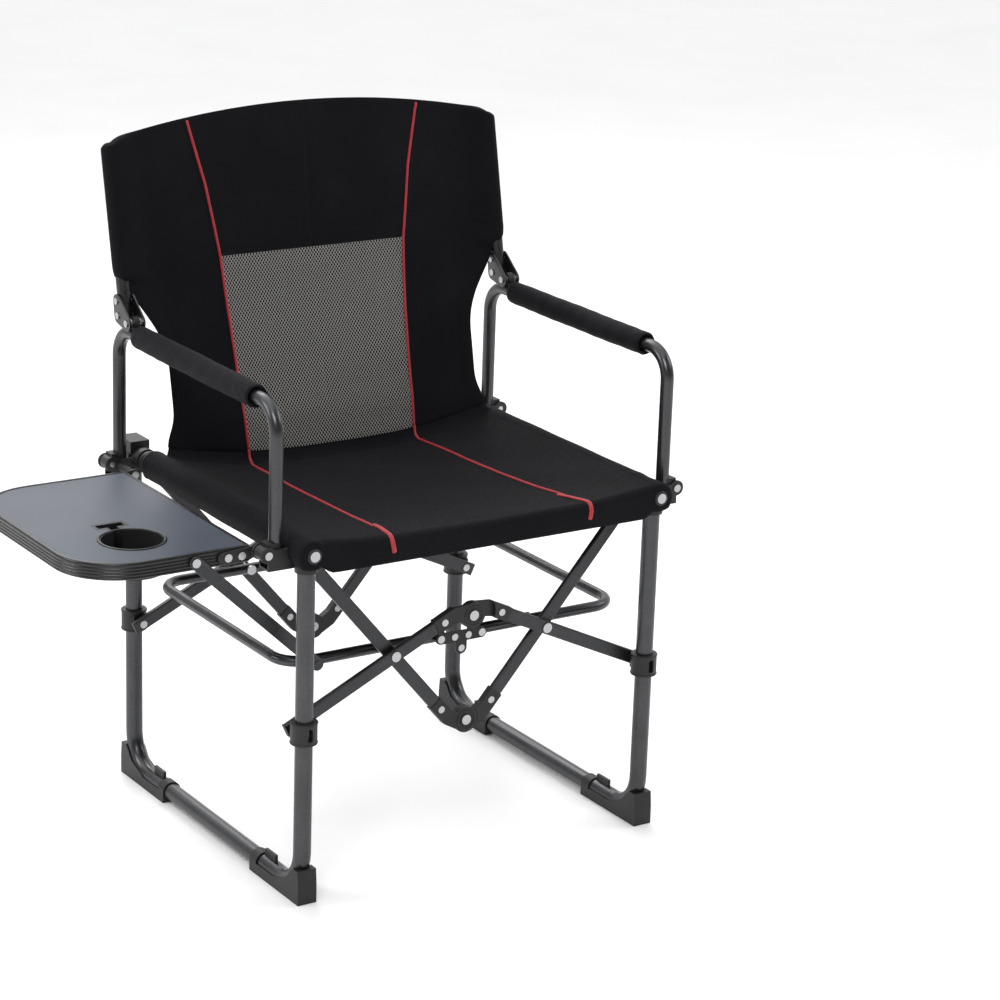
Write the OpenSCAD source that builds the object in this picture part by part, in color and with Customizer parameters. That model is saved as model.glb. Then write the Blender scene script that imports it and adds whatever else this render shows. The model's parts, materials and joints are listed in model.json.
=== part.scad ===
// Folding director's camp chair with a drop-down side table.
// Frame: +Z up, the sitter faces -Y, the side table is at -X, the feet stand on z = 0.

/* [Side frames] */
// Distance between the centre lines of the left and right legs
leg_gap = 500; // [480:5:520]
// Distance between the centre lines of the front and rear legs
leg_depth = 454; // [444:2:464]
// Outer diameter of the leg and seat rail tube
leg_dia = 22; // [20:1:22]
// Height of the seat rail's centre line
rail_z = 447; // [440:1:460]
// Bend radius of the legs into the floor runner
leg_bend = 50; // [45:1:50]
// Wall thickness of all round tube
tube_wall = 1.5; // [1:0.1:2]

/* [Scissor links] */
// Height of the cross rivet where two links pass each other
cross_z = 285; // [280:1:290]
// Distance of the cross rivet from the middle of the chair
cross_x = 111; // [105:1:115]
// Height of the sliding collar's pivot
collar_z = 220; // [212:1:228]
// Width of the flat-sided link tube
link_w = 17; // [15:0.5:18]
// Thickness of the flat-sided link tube
link_t = 8; // [7:0.5:8]
// Distance of each hub pin from its link's centre line
hub_offset = 15; // [14:0.5:16]
// Radius of the hub discs
hub_r = 17; // [15:0.5:18]

/* [Support loops] */
// Outer diameter of the loop tube
loop_dia = 14; // [12:1:14]
// Distance of the loop's outer bar from the middle of the chair
loop_x = 243; // [238:1:246]
// Bend radius of the loop's corners
loop_bend = 34; // [28:1:34]
// Distance of the loop's inner pivot from the middle of the chair
tie_x = 30; // [26:1:32]

/* [Arms and back] */
// Outer diameter of the arm and back tube
arm_dia = 17; // [16:0.5:17]
// Distance of the arm tubes from the middle of the chair
arm_x = 280; // [278:1:282]
// Distance of each arm post from the middle of the chair, front to back
post_y = 206; // [204:1:207]
// Height of the arm bar's centre line
arm_z = 623; // [618:1:630]
// Diameter of the foam arm pad
pad_dia = 29; // [26:1:29]
// Recline of the back from upright
recline = 12.2; // [11:0.1:13]
// Height of the top corners of the back cloth
back_corner_z = 856; // [840:2:870]
// Rise of the back cloth's top edge from its corners to its middle
back_arch = 33; // [20:1:40]

/* [Side table] */
// Height of the table top
table_z = 450; // [448:1:451]
// Thickness of the table top
table_t = 20; // [18:1:20]
// Distance of the table's inner edge from the middle of the chair
table_in = 300; // [299:1:303]
// Distance of the table's outer edge from the middle of the chair
table_out = 517; // [500:1:520]
// Corner radius at the table's outer edge
table_corner = 80; // [60:1:85]
// Inner radius of the cup holder
cup_r = 37; // [34:0.5:38]
// Depth of the cup holder
cup_depth = 38; // [30:1:40]

/* [Hidden] */
$fn = 64;

leg_x = leg_gap / 2;
leg_y = leg_depth / 2;
leg_r = leg_dia / 2;
arm_r = arm_dia / 2;
loop_r = loop_dia / 2;
back_lean = tan(recline);

// Running fit of a pin or rail in its hole
fit = 0.05;
// Floor clearance of the runner: thickness of the foot below the tube
sole = 3;
runner_z = leg_r + sole;
leg_top = rail_z - leg_r - 2;
foot_half_w = leg_r + 2;
foot_reach = 118;
foot_clip_z = 44;

// Layers of the folding gear, as distances from the middle of the chair, front and back alike:
// rising links and collars outside, then dropping links, table brace, tie plates and loops.
rise_y = 203;
drop_y = 192.5;
brace_y = 184.75;
tie_y = 180;
loop_y = 168.5;
knuckle_t = 9.8;
half_gap = 0.2;

// The left links in the X-Z plane: rail pivot, collar pivot and cross rivet.
rail_pivot = [-leg_x, rail_z];
collar_pivot = [-leg_x, collar_z];
cross = [-cross_x, cross_z];
drop_dir = (cross - rail_pivot) / norm(cross - rail_pivot);
rise_dir = (cross - collar_pivot) / norm(cross - collar_pivot);
drop_cross = norm(cross - rail_pivot);
rise_cross = norm(cross - collar_pivot);
drop_len = drop_cross + (cross_x + hub_offset * drop_dir.y) / drop_dir.x;
rise_len = rise_cross + (cross_x - hub_offset * rise_dir.y) / rise_dir.x;
hub_relief = 15;
hub_neck = 52;
neck_rivet = 39;
pin_r = 4;
small_pin_r = 3;
head_r = 6.5;
head_t = 1.5;

// Arm hinge, outboard of the post so that the arm can swing over and hang outside the table
hinge_x = arm_x + 15.5;
hinge_z = 446;
hinge_r = 10;
post_foot_z = hinge_z - 9;
plate_t = 2.5;
plate_in = arm_r + 0.5;

// The model is shifted so that the origin is under the middle of its whole box: the table's
// outer edge and the right arm's clevis, the rail end rivets and the rear brackets' caps.
rail_end = leg_y + 13;
cap_reach = leg_y + 19;
centre_x = (table_out - hinge_x - hinge_r) / 2;
centre_y = (rail_end + 8.5 - cap_reach) / 2;

// Back tube: a line that leans back through this point, and its pivot above the arm bar
back_tube_y = 188;
back_tube_z = 648;
back_pivot = [163, 638];
crease = [back_tube_y - (back_tube_z - 464) * back_lean, 464];
fold_x = 62;
cloth_t = 3;
cloth_edge = arm_x + 9.5;
cloth_waist = 226;

// Table hinge and brace, in the X-Z plane
table_hinge = [-286, 443];
table_front = -183;
table_rear = 150;
brace_top = [-374, 440];
brace_foot = [-208.5, cross_z];
cup_at = [-414, -100];
// The holder's lip is let into the board and lies level with its top
cup_lip = 1.6;

module mirrored_y() {
    children();
    mirror([0, 1, 0]) children();
}

module on_right() {
    mirror([1, 0, 0]) children();
}

// Shifts every sub-part from the chair's own middle to the part's origin
module placed(colour) {
    translate([centre_x, centre_y, 0]) color(colour) children();
}

// A pin along Y from y0 to y1
module y_pin(x, z, r, y0, y1) {
    translate([x, min(y0, y1), z]) rotate([-90, 0, 0]) cylinder(h = abs(y1 - y0), r = r);
}

// A pin along X from x0 to x1
module x_pin(y, z, r, x0, x1) {
    translate([min(x0, x1), y, z]) rotate([0, 90, 0]) cylinder(h = abs(x1 - x0), r = r);
}

module ring(r, wall) {
    difference() {
        circle(r = r);
        circle(r = r - wall);
    }
}

function heading(a, b) = atan2(b.y - a.y, b.x - a.x);
function turn(a, b, c) = let (t = heading(b, c) - heading(a, b))
    t > 180 ? t - 360 : (t < -180 ? t + 360 : t);
function setback(pts, i, bend) =
    (i == 0 || i == len(pts) - 1) ? 0 : bend * tan(abs(turn(pts[i - 1], pts[i], pts[i + 1])) / 2);
function toward(a, b, d) = a + (b - a) * d / norm(b - a);

// Straight run of a bent tube that lies in the X-Y plane
module tube_run(p, q, r, wall) {
    translate([p.x, p.y, 0]) rotate([0, 0, heading(p, q)]) rotate([0, 90, 0])
        linear_extrude(norm(q - p)) if (wall > 0) ring(r, wall); else circle(r = r);
}

// Round bend of a tube at corner b
module tube_bend(a, b, c, bend, r, wall) {
    angle = turn(a, b, c);
    side = sign(angle);
    start = toward(b, a, bend * tan(abs(angle) / 2));
    dir = heading(a, b);
    centre = start + bend * side * [-sin(dir), cos(dir)];
    translate([centre.x, centre.y, 0])
        rotate([0, 0, side > 0 ? dir - 90 : dir + 90 - abs(angle)])
            rotate_extrude(angle = abs(angle)) translate([bend, 0])
                if (wall > 0) ring(r, wall); else circle(r = r);
}

// A round tube through the points, with every inner corner bent
module bent_tube(pts, bend, r, wall = 0) {
    for (i = [0:len(pts) - 2])
        tube_run(toward(pts[i], pts[i + 1], setback(pts, i, bend)),
                 toward(pts[i + 1], pts[i], setback(pts, i + 1, bend)), r, wall);
    for (i = [1:1:len(pts) - 2])
        tube_bend(pts[i - 1], pts[i], pts[i + 1], bend, r, wall);
}

// Stands a shape drawn in the X-Y plane up in the Y-Z plane at x
module in_side_plane(x) {
    translate([x, 0, 0]) rotate([90, 0, 90]) children();
}

// A slab drawn in X-Z, between y0 and y1
module xz_slab(y0, y1) {
    translate([0, y1, 0]) rotate([90, 0, 0]) linear_extrude(y1 - y0) children();
}

// ---------------------------------------------------------------- side frames

function leg_line() = [[-leg_y, leg_top], [-leg_y, runner_z], [leg_y, runner_z], [leg_y, leg_top]];

module leg_frame() {
    in_side_plane(-leg_x) bent_tube(leg_line(), leg_bend, leg_r, tube_wall);
}

function bend_arc() = [for (a = [180:10:230]) // inner edge of the foot along the tube's bend
    [-leg_y + leg_bend + leg_bend * cos(a), runner_z + leg_bend + leg_bend * sin(a)]];

// One moulded foot: a shell that cups the bend, down to a point under the leg
module foot() {
    difference() {
        union() {
            in_side_plane(-leg_x - foot_half_w) linear_extrude(2 * foot_half_w) polygon(concat(
                [[-foot_reach, runner_z], [-foot_reach, 0], [-leg_y - leg_r - 3, 0],
                 [-leg_y - leg_r - 3, foot_clip_z], [-leg_y, foot_clip_z]],
                [for (p = bend_arc()) if (p.y < foot_clip_z) p],
                [[-leg_y + leg_bend, runner_z]]));
            translate([-leg_x, -foot_reach, runner_z]) rotate([90, 0, 0])
                cylinder(h = 16, r = foot_half_w);
            translate([-leg_x - 2, -foot_reach - 46, runner_z + leg_r]) cube([4, 26, 9]);
        }
        in_side_plane(-leg_x) bent_tube(leg_line(), leg_bend, leg_r + 2 * fit);
        in_side_plane(-leg_x - 30) linear_extrude(60)
            polygon([[-leg_y - 30, 12], [-leg_y - leg_r - 4, 12], [-leg_y - leg_r - 1, foot_clip_z + 1],
                     [-leg_y - 30, foot_clip_z + 1]]);
        translate([-leg_x - 30, -200, -20]) cube([60, 200, 20]);
    }
}

module feet() {
    mirrored_y() foot();
}

module seat_rail() {
    translate([-leg_x, rail_end, rail_z]) rotate([90, 0, 0]) linear_extrude(2 * rail_end)
        ring(leg_r, tube_wall);
}

// Saddle that joins a leg's top to the rail. The rear one has a flat cap on top.
module corner_bracket(cap) {
    y0 = leg_y - 15;
    difference() {
        union() {
            translate([-leg_x, rail_end - 0.1, rail_z]) rotate([90, 0, 0])
                cylinder(h = rail_end - 0.1 - y0, r = 14.9);
            translate([-leg_x, leg_y, rail_z - 24]) cylinder(h = 18, r = 14);
            if (cap) translate([-leg_x - 13.5, cap_reach - 38, rail_z + 4]) cube([27, 38, 17]);
        }
        y_pin(-leg_x, rail_z, leg_r + fit, leg_y - 40, cap_reach + 5);
        y_pin(-leg_x, rail_z, leg_r + 1 + fit, rail_end - 0.1, cap_reach + 5);
        translate([-leg_x, leg_y, rail_z - 40]) cylinder(h = leg_top - rail_z + 40.1, r = leg_r + fit);
    }
}

module corner_brackets() {
    mirror([0, 1, 0]) corner_bracket(false);
    corner_bracket(true);
}

module plate_outline(inner) {
    translate([-hinge_x, hinge_z]) circle(r = hinge_r);
    translate([-hinge_x, hinge_z - hinge_r]) square([hinge_x - inner - 2, hinge_r + 6]);
    translate([-hinge_x, rail_z - 21]) square([hinge_x - inner, 12]);
}

// Clevis that carries the arm's foot, with its floor under the foot
module arm_hinge() {
    difference() {
        union() {
            xz_slab(-post_y - plate_in - plate_t, -post_y - plate_in) plate_outline(leg_x + 17);
            xz_slab(-post_y - plate_in - plate_t, -post_y - plate_in)
                translate([-leg_x - 20, rail_z - 21]) square([13, 13]);
            xz_slab(-post_y + plate_in, -post_y + plate_in + plate_t) plate_outline(leg_x + 17);
            translate([-hinge_x, -post_y - plate_in - plate_t, rail_z - 21])
                cube([hinge_x - leg_x - 12, 2 * (plate_in + plate_t), plate_t]);
        }
        y_pin(-hinge_x, hinge_z, small_pin_r + 0.5, -post_y - 20, -post_y + 20);
        translate([-leg_x, -leg_y, rail_z - 25]) cylinder(h = 40, r = 14.1);
        y_pin(-leg_x, rail_z, 15, -leg_y - 20, -leg_y + 40);
    }
}

module arm_hinges(with_table) {
    mirrored_y() arm_hinge();
    if (with_table) {
        y_pin(table_hinge.x, table_hinge.y, 5, -post_y + plate_in + plate_t, -brace_y - 1.65);
        y_pin(table_hinge.x, table_hinge.y, 5, table_rear + 3.2, post_y - plate_in - plate_t);
    }
}

module rail_ring(y, length, wall) {
    translate([-leg_x, y + length, rail_z]) rotate([90, 0, 0]) linear_extrude(length)
        ring(leg_r + wall, wall - fit);
}

// Plugs in the rail's ends, and the rings on the rail on both sides of the rear link's clamp
module rail_plugs() {
    mirrored_y() translate([-leg_x, rail_end + 3, rail_z]) rotate([90, 0, 0]) {
        cylinder(h = 3, r = leg_r + 1);
        cylinder(h = 20, r = leg_r - tube_wall);
    }
    for (i = [0:2]) rail_ring(167 + i * 6, 4.5, 3);
    rail_ring(167, 19, 2);
    rail_ring(198.5, 9, 2);
}

module frame_rivets(with_table) {
    mirrored_y() {
        y_pin(-hinge_x, hinge_z, small_pin_r + 0.5,
              -post_y - plate_in - plate_t, -post_y + plate_in + plate_t);
        y_pin(-hinge_x, hinge_z, 5, -post_y - plate_in - plate_t - head_t,
              -post_y - plate_in - plate_t);
    }
    y_pin(-leg_x, rail_z, small_pin_r, -rail_end - 3 - 3.5, -rail_end - 3);
    y_pin(-leg_x, rail_z, head_r, -rail_end - 3 - 5.5, -rail_end - 3 - 3.5);
    if (with_table) {
        y_pin(table_hinge.x, table_hinge.y, small_pin_r, -brace_y - 1.65, -brace_y + 1.55);
        y_pin(table_hinge.x, table_hinge.y, 5, -brace_y + 1.55, -brace_y + 3.05);
        y_pin(table_hinge.x, table_hinge.y, small_pin_r, table_rear, table_rear + 3.2);
        y_pin(table_hinge.x, table_hinge.y, 5, table_rear - 1.5, table_rear);
    }
}

// ------------------------------------------------------------- scissor links

// Runs along a link: X along it from its outer pivot, Z across it
module along(start, dir) {
    translate([start.x, 0, start.y]) rotate([0, -atan2(dir.y, dir.x), 0]) children();
}

module round_rect(w, h, r) {
    square([w - 2 * r, h], center = true);
    square([w, h - 2 * r], center = true);
    for (x = [-1, 1], y = [-1, 1]) translate([x * (w / 2 - r), y * (h / 2 - r)]) circle(r = r);
}

// Flat-sided tube from s0 to s1 along a link, in the layer at y
module link_tube(s0, s1, y, cross_at, hole_r) {
    difference() {
        translate([s0, y, 0]) rotate([0, 90, 0]) linear_extrude(s1 - s0) difference() {
            round_rect(link_w, link_t, 2);
            round_rect(link_w - 2 * tube_wall, link_t - 2 * tube_wall, 1);
        }
        y_pin(cross_at, 0, hole_r, y - link_t, y + link_t);
    }
}

tongue_w = link_w - 2 * tube_wall - 0.8;
tongue_t = link_t - 2 * tube_wall - 0.8;

module tongue(s0, s1, y) {
    translate([s0, y - tongue_t / 2, -tongue_w / 2]) cube([s1 - s0, tongue_t, tongue_w]);
}

// Hub knuckle: a half-thickness disc on the hub and a neck that plugs into the link's end.
// side is +1 or -1 for the hub above or below the link, half is -1 for the outer half layer.
module hub_knuckle(len, y, side, half, hole_r, relief = 0.5) {
    hub_z = side * hub_offset;
    w = link_w / 2 + 1;
    difference() {
        union() {
            y_pin(len, hub_z, hub_r, half < 0 ? y - knuckle_t / 2 : y + half_gap,
                  half < 0 ? y - half_gap : y + knuckle_t / 2);
            difference() {
                xz_slab(y - knuckle_t / 2, y + knuckle_t / 2) scale([1, side]) polygon([
                    [len - hub_neck, -w], [len - 20, -w], [len + 3, -1], [len, hub_offset],
                    [len - 15, hub_offset - 1.5], [len - 30, w], [len - hub_neck, w]]);
                y_pin(len, hub_z, hub_r + relief, half < 0 ? y - half_gap : y - knuckle_t,
                      half < 0 ? y + knuckle_t : y + half_gap);
            }
            tongue(len - hub_neck - 20, len - hub_neck, y);
        }
        if (hole_r > 0) y_pin(len, hub_z, hole_r, y - knuckle_t, y + knuckle_t);
        y_pin(len - neck_rivet, 0, small_pin_r, y - knuckle_t, y + knuckle_t);
    }
}

// Clamp that turns on the seat rail at a dropping link's top
module rail_knuckle() {
    difference() {
        union() {
            y_pin(0, 0, 14.9, -drop_y - knuckle_t / 2, -drop_y + knuckle_t / 2);
            translate([0, -drop_y - knuckle_t / 2, -9]) cube([34, knuckle_t, 18]);
            tongue(34, 54, -drop_y);
        }
        y_pin(0, 0, leg_r + fit, -drop_y - knuckle_t, -drop_y + knuckle_t);
        y_pin(26, 0, small_pin_r, -drop_y - knuckle_t, -drop_y + knuckle_t);
    }
}

// A rivet across a knuckle's neck, with a head on both faces
module neck_pin(s, y) {
    y_pin(s, 0, small_pin_r, y - knuckle_t / 2, y + knuckle_t / 2);
    y_pin(s, 0, 4.5, y - knuckle_t / 2 - 0.5, y - knuckle_t / 2);
    y_pin(s, 0, 4.5, y + knuckle_t / 2, y + knuckle_t / 2 + 0.5);
}

module drop_links() {
    mirrored_y() along(rail_pivot, drop_dir)
        link_tube(34, drop_len - hub_neck, -drop_y, drop_cross, pin_r);
}

module drop_knuckles(half) {
    mirrored_y() along(rail_pivot, drop_dir) {
        rail_knuckle();
        hub_knuckle(drop_len, -drop_y, 1, half, half < 0 ? pin_r : pin_r + fit);
    }
}

// The cross pin carries both links and the loop; the left pair also carries the lower hub pin
module drop_rivets(with_hub) {
    mirrored_y() {
        along(rail_pivot, drop_dir) {
            neck_pin(26, -drop_y);
            neck_pin(drop_len - neck_rivet, -drop_y);
            if (with_hub) {
                y_pin(drop_len, hub_offset, pin_r, -drop_y - knuckle_t / 2, -drop_y + knuckle_t / 2);
                y_pin(drop_len, hub_offset, head_r, -drop_y - knuckle_t / 2 - head_t,
                      -drop_y - knuckle_t / 2);
                y_pin(drop_len, hub_offset, head_r, -drop_y + knuckle_t / 2,
                      -drop_y + knuckle_t / 2 + head_t);
            }
        }
        y_pin(cross.x, cross.y, pin_r, -rise_y - link_t / 2 - 0.2, -loop_y + loop_r + 0.2);
        y_pin(cross.x, cross.y, head_r, -rise_y - link_t / 2 - 0.2 - head_t, -rise_y - link_t / 2 - 0.2);
        y_pin(cross.x, cross.y, head_r, -loop_y + loop_r + 0.2, -loop_y + loop_r + 0.2 + head_t);
    }
}

module rise_links() {
    mirrored_y() along(collar_pivot, rise_dir) difference() {
        link_tube(-11, rise_len - hub_neck, -rise_y, rise_cross, pin_r + fit);
        y_pin(0, 0, small_pin_r, -rise_y - link_t, -rise_y + link_t);
    }
}

module rise_knuckles(half) {
    mirrored_y() along(collar_pivot, rise_dir) {
        hub_knuckle(rise_len, -rise_y, -1, half, 0, hub_relief);
        difference() {
            union() {
                tongue(-11, 12, -rise_y);
                translate([-12.5, -rise_y - link_t / 2, -link_w / 2]) cube([1.5, link_t, link_w]);
            }
            y_pin(0, 0, small_pin_r, -rise_y - link_t, -rise_y + link_t);
        }
    }
}

module rise_rivets(half) {
    mirrored_y() along(collar_pivot, rise_dir) {
        neck_pin(rise_len - neck_rivet, -rise_y);
        y_pin(0, 0, small_pin_r, -rise_y - link_t / 2, -rise_y + link_t / 2);
        y_pin(0, 0, 5, -rise_y + link_t / 2, -rise_y + link_t / 2 + 1);
        y_pin(rise_len, -hub_offset, head_r,
              half < 0 ? -rise_y - knuckle_t / 2 - head_t : -rise_y + knuckle_t / 2,
              half < 0 ? -rise_y - knuckle_t / 2 : -rise_y + knuckle_t / 2 + head_t);
    }
}

collar_h = 28;

module collar() {
    difference() {
        union() {
            translate([-leg_x, -leg_y, collar_z - collar_h / 2]) cylinder(h = collar_h, r = 16.5);
            translate([-leg_x - 9, -leg_y + 10, collar_z - 9]) cube([18, 8.2, 18]);
        }
        translate([-leg_x, -leg_y, collar_z - collar_h]) cylinder(h = 2 * collar_h, r = leg_r + 2 * fit);
        for (dz = [-5, 5]) y_pin(-leg_x, collar_z + dz, 3.5, -leg_y - 20, -leg_y);
        translate([-leg_x - 3.5, -leg_y - 20, collar_z - 5]) cube([7, 20, 10]);
    }
}

module collars() {
    mirrored_y() collar();
}

// ------------------------------------------------------------ support loops

loop_end = tie_x - 8;
function loop_line() = [[-loop_end, -loop_y], [-loop_x, -loop_y], [-loop_x, loop_y], [-loop_end, loop_y]];

module loop(tie_hole, brace_hole) {
    difference() {
        translate([0, 0, cross_z]) bent_tube(loop_line(), loop_bend, loop_r, tube_wall);
        y_pin(cross.x, cross.y, pin_r + fit, -200, 200);
        if (tie_hole) y_pin(-tie_x, cross_z, small_pin_r + fit, -200, 200);
        if (brace_hole) y_pin(brace_foot.x, brace_foot.y, small_pin_r, -200, -loop_y);
    }
}

module loop_plugs() {
    mirrored_y() translate([-loop_end, -loop_y, cross_z]) rotate([0, 90, 0]) cylinder(h = 2, r = loop_r);
}

tie_t = 2.6;

// T-shaped plates that tie the two loops together at the middle
module tie_plates() {
    mirrored_y() difference() {
        xz_slab(-tie_y - tie_t / 2, -tie_y + tie_t / 2) {
            translate([-tie_x, cross_z - 7]) square([2 * tie_x, 14]);
            for (s = [-1, 1]) translate([s * tie_x, cross_z]) circle(r = 7);
            translate([-8, cross_z - 16]) square([16, 12]);
            translate([0, cross_z - 16]) circle(r = 8);
        }
        for (s = [-1, 1]) y_pin(s * tie_x, cross_z, small_pin_r, -tie_y - 5, -tie_y + 5);
    }
}

module tie_rivets() {
    face = -tie_y - tie_t / 2;
    back = -tie_y + tie_t / 2;
    mirrored_y() {
        y_pin(-tie_x, cross_z, small_pin_r, face, -loop_y + loop_r + 0.2);
        y_pin(-tie_x, cross_z, 5, -loop_y + loop_r + 0.2, -loop_y + loop_r + 1.4);
        y_pin(tie_x, cross_z, small_pin_r, face, back);
        for (s = [-1, 1]) y_pin(s * tie_x, cross_z, 5, face - 0.9, face);
        for (s = [-1, 1]) y_pin(s * 10, cross_z, 4.5, face - 0.9, face);
        y_pin(0, cross_z - 16, 4.5, face - 0.9, face);
    }
}

// ------------------------------------------------------------ arms and back

arm_bend = 36;
pad_front = -158;
pad_rear = 147;
tongue_x = 4;

function arm_line() = [[-post_y, post_foot_z], [-post_y, arm_z], [post_y, arm_z], [post_y, post_foot_z]];

module arm_tube() {
    in_side_plane(-arm_x) bent_tube(arm_line(), arm_bend, arm_r, tube_wall);
}

// Foam sleeve on the arm bar, with rounded ends
module arm_pad() {
    long = pad_rear - pad_front;
    translate([-arm_x, pad_front, arm_z]) rotate([-90, 0, 0])
        rotate_extrude() {
            translate([arm_r, 0]) square([pad_dia / 2 - 3 - arm_r, long]);
            translate([arm_r, 3]) square([pad_dia / 2 - arm_r, long - 6]);
            for (h = [3, long - 3]) translate([pad_dia / 2 - 3, h]) circle(r = 3);
        }
}

// Moulded foot of each post: the part that turns in the clevis
module arm_knuckles() {
    mirrored_y() {
        difference() {
            xz_slab(-post_y - arm_r, -post_y + arm_r) {
                translate([-hinge_x, hinge_z]) circle(r = 9);
                translate([-hinge_x, hinge_z - 9]) square([hinge_x - arm_x, 22]);
            }
            translate([-arm_x, -post_y, hinge_z - 30]) cylinder(h = 60, r = arm_r);
            y_pin(-hinge_x, hinge_z, small_pin_r + 0.5 + fit, -post_y - 20, -post_y + 20);
        }
        translate([-arm_x, -post_y, post_foot_z - 1.5]) cylinder(h = 1.5, r = arm_r);
    }
}

// Saddle and tongue on the arm bar that the back's plates turn on
module arm_tongue() {
    difference() {
        union() {
            x_pin(back_pivot.x, back_pivot.y, 9, -arm_x - tongue_x, -arm_x + tongue_x);
            translate([-arm_x - tongue_x, back_pivot.x - 9, arm_z])
                cube([2 * tongue_x, 15, back_pivot.y - arm_z]);
        }
        y_pin(-arm_x, arm_z, arm_r, back_pivot.x - 20, back_pivot.x + 20);
        x_pin(back_pivot.x, back_pivot.y, small_pin_r + fit, -arm_x - 20, -arm_x + 20);
    }
}

// Draws along the back's own plane: X across, Y up the slope from the crease, Z out of the front
module on_back_plane() {
    translate([0, crease.x, crease.y]) rotate([90 - recline, 0, 0]) children();
}

function slope_v(z) = (z - crease.y) / cos(recline);

back_tube_lo = 638;
back_tube_hi = back_corner_z - 6;

module back_tube() {
    on_back_plane() translate([-arm_x, slope_v(back_tube_lo), 0]) rotate([-90, 0, 0])
        linear_extrude(slope_v(back_tube_hi) - slope_v(back_tube_lo)) ring(arm_r, tube_wall);
}

plate_gap = arm_r + 0.4;
back_plate_t = 2.2;
function on_tube(z) = [back_tube_y + (z - back_tube_z) * back_lean, z];
low_rivet = on_tube(643);
high_rivet = on_tube(661);

// D-shaped plates on both sides of the back tube's lower end
module back_plates() {
    for (s = [-1, 1]) difference() {
        in_side_plane(-arm_x + s * (plate_gap + back_plate_t / 2) - back_plate_t / 2)
            linear_extrude(back_plate_t) hull() {
                translate(back_pivot) circle(r = 10);
                translate(low_rivet) circle(r = 10);
                translate(high_rivet) circle(r = 9);
            }
        for (p = [back_pivot, low_rivet, high_rivet])
            x_pin(p.x, p.y, small_pin_r, -arm_x - 20, -arm_x + 20);
    }
}

module back_rivets() {
    out = plate_gap + back_plate_t;
    x_pin(back_pivot.x, back_pivot.y, small_pin_r, -arm_x - out, -arm_x + out);
    for (s = [-1, 1]) {
        for (p = [back_pivot, low_rivet, high_rivet])
            x_pin(p.x, p.y, 4.5, -arm_x + s * out, -arm_x + s * (out + head_t));
        for (p = [low_rivet, high_rivet])
            x_pin(p.x, p.y, small_pin_r, -arm_x + s * out, -arm_x + s * (arm_r + 0.1));
        difference() {
            x_pin(back_pivot.x, back_pivot.y, 6, -arm_x + s * (tongue_x + 0.3), -arm_x + s * plate_gap);
            x_pin(back_pivot.x, back_pivot.y, small_pin_r, -arm_x - 20, -arm_x + 20);
        }
    }
}

// --------------------------------------------------------------- side table

module table_outline(inset) {
    x0 = -table_out + inset;
    x1 = -table_in - inset;
    y0 = table_front + inset;
    y1 = table_rear - inset;
    r = table_corner - inset;
    translate([x0, y0 + r]) square([x1 - x0, y1 - y0 - 2 * r]);
    translate([x0 + r, y0]) square([x1 - x0 - r, y1 - y0]);
    for (y = [y0 + r, y1 - r]) translate([x0 + r, y]) circle(r = r);
}

rim_w = 5;

// Opening for the cup and for a mug's handle
module cup_outline(grow) {
    translate(cup_at) circle(r = cup_r + grow);
    translate(cup_at + [-6 - grow, 0]) square([12 + 2 * grow, 66 + grow]);
    translate(cup_at + [-17 - grow, 54 - grow]) square([34 + 2 * grow, 12 + 2 * grow]);
}

module table_board() {
    translate([0, 0, table_z - table_t + 2]) difference() {
        linear_extrude(table_t - 2) table_outline(rim_w);
        translate([0, 0, -1]) linear_extrude(table_t + 2) cup_outline(2);
        translate([0, 0, table_t - 2 - cup_lip]) linear_extrude(table_t) cup_outline(5);
    }
}

module table_rim() {
    translate([0, 0, table_z - table_t]) linear_extrude(table_t + 0.5) difference() {
        table_outline(0);
        table_outline(rim_w);
    }
}

module cup_holder() {
    difference() {
        union() {
            translate([0, 0, table_z - cup_lip]) linear_extrude(cup_lip) cup_outline(5);
            translate([0, 0, table_z - cup_depth]) linear_extrude(cup_depth) cup_outline(2);
        }
        translate([0, 0, table_z - cup_depth + 2]) linear_extrude(cup_depth + 2) cup_outline(0);
    }
}

module strap_outline(a, b, r) {
    for (p = [a, b]) translate(p) circle(r = r);
    translate(a) rotate(heading(a, b)) translate([0, 0.05 - r]) square([norm(b - a), 2 * r - 0.1]);
}

brace_half = 1.25;
hinge_plate_end = [-338, brace_top.y];

module table_hinge_plates() {
    difference() {
        union() {
            xz_slab(-brace_y - brace_half, -brace_y + brace_half)
                strap_outline(hinge_plate_end, table_hinge, 7);
            xz_slab(table_rear + 0.3, table_rear + 2.8) strap_outline(hinge_plate_end, table_hinge, 7);
        }
        y_pin(table_hinge.x, table_hinge.y, small_pin_r + fit, -200, 200);
    }
}

table_rivet_x = [-332, -314];

module table_rivets() {
    outer = -brace_y - brace_half;
    for (x = table_rivet_x) {
        y_pin(x, brace_top.y, 5, outer - head_t, outer);
        y_pin(x, brace_top.y, 5, table_rear + 2.8, table_rear + 2.8 + head_t);
        y_pin(x, brace_top.y, 6, -brace_y + brace_half, table_front);
        y_pin(x, brace_top.y, 6, table_rear, table_rear + 0.3);
    }
    y_pin(brace_top.x, brace_top.y, small_pin_r, outer - 0.2, table_front);
    y_pin(brace_top.x, brace_top.y, 5.5, outer - 0.2 - head_t, outer - 0.2);
}

module table_brace() {
    difference() {
        xz_slab(-brace_y - brace_half, -brace_y + brace_half) strap_outline(brace_top, brace_foot, 8);
        y_pin(brace_top.x, brace_top.y, small_pin_r + fit, -200, 200);
        y_pin(brace_foot.x, brace_foot.y, small_pin_r, -200, 200);
    }
    y_pin(brace_foot.x, brace_foot.y, small_pin_r, -brace_y - brace_half, -brace_y + brace_half);
    y_pin(brace_foot.x, brace_foot.y, 5, -brace_y - brace_half - 1, -brace_y - brace_half);
}

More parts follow.
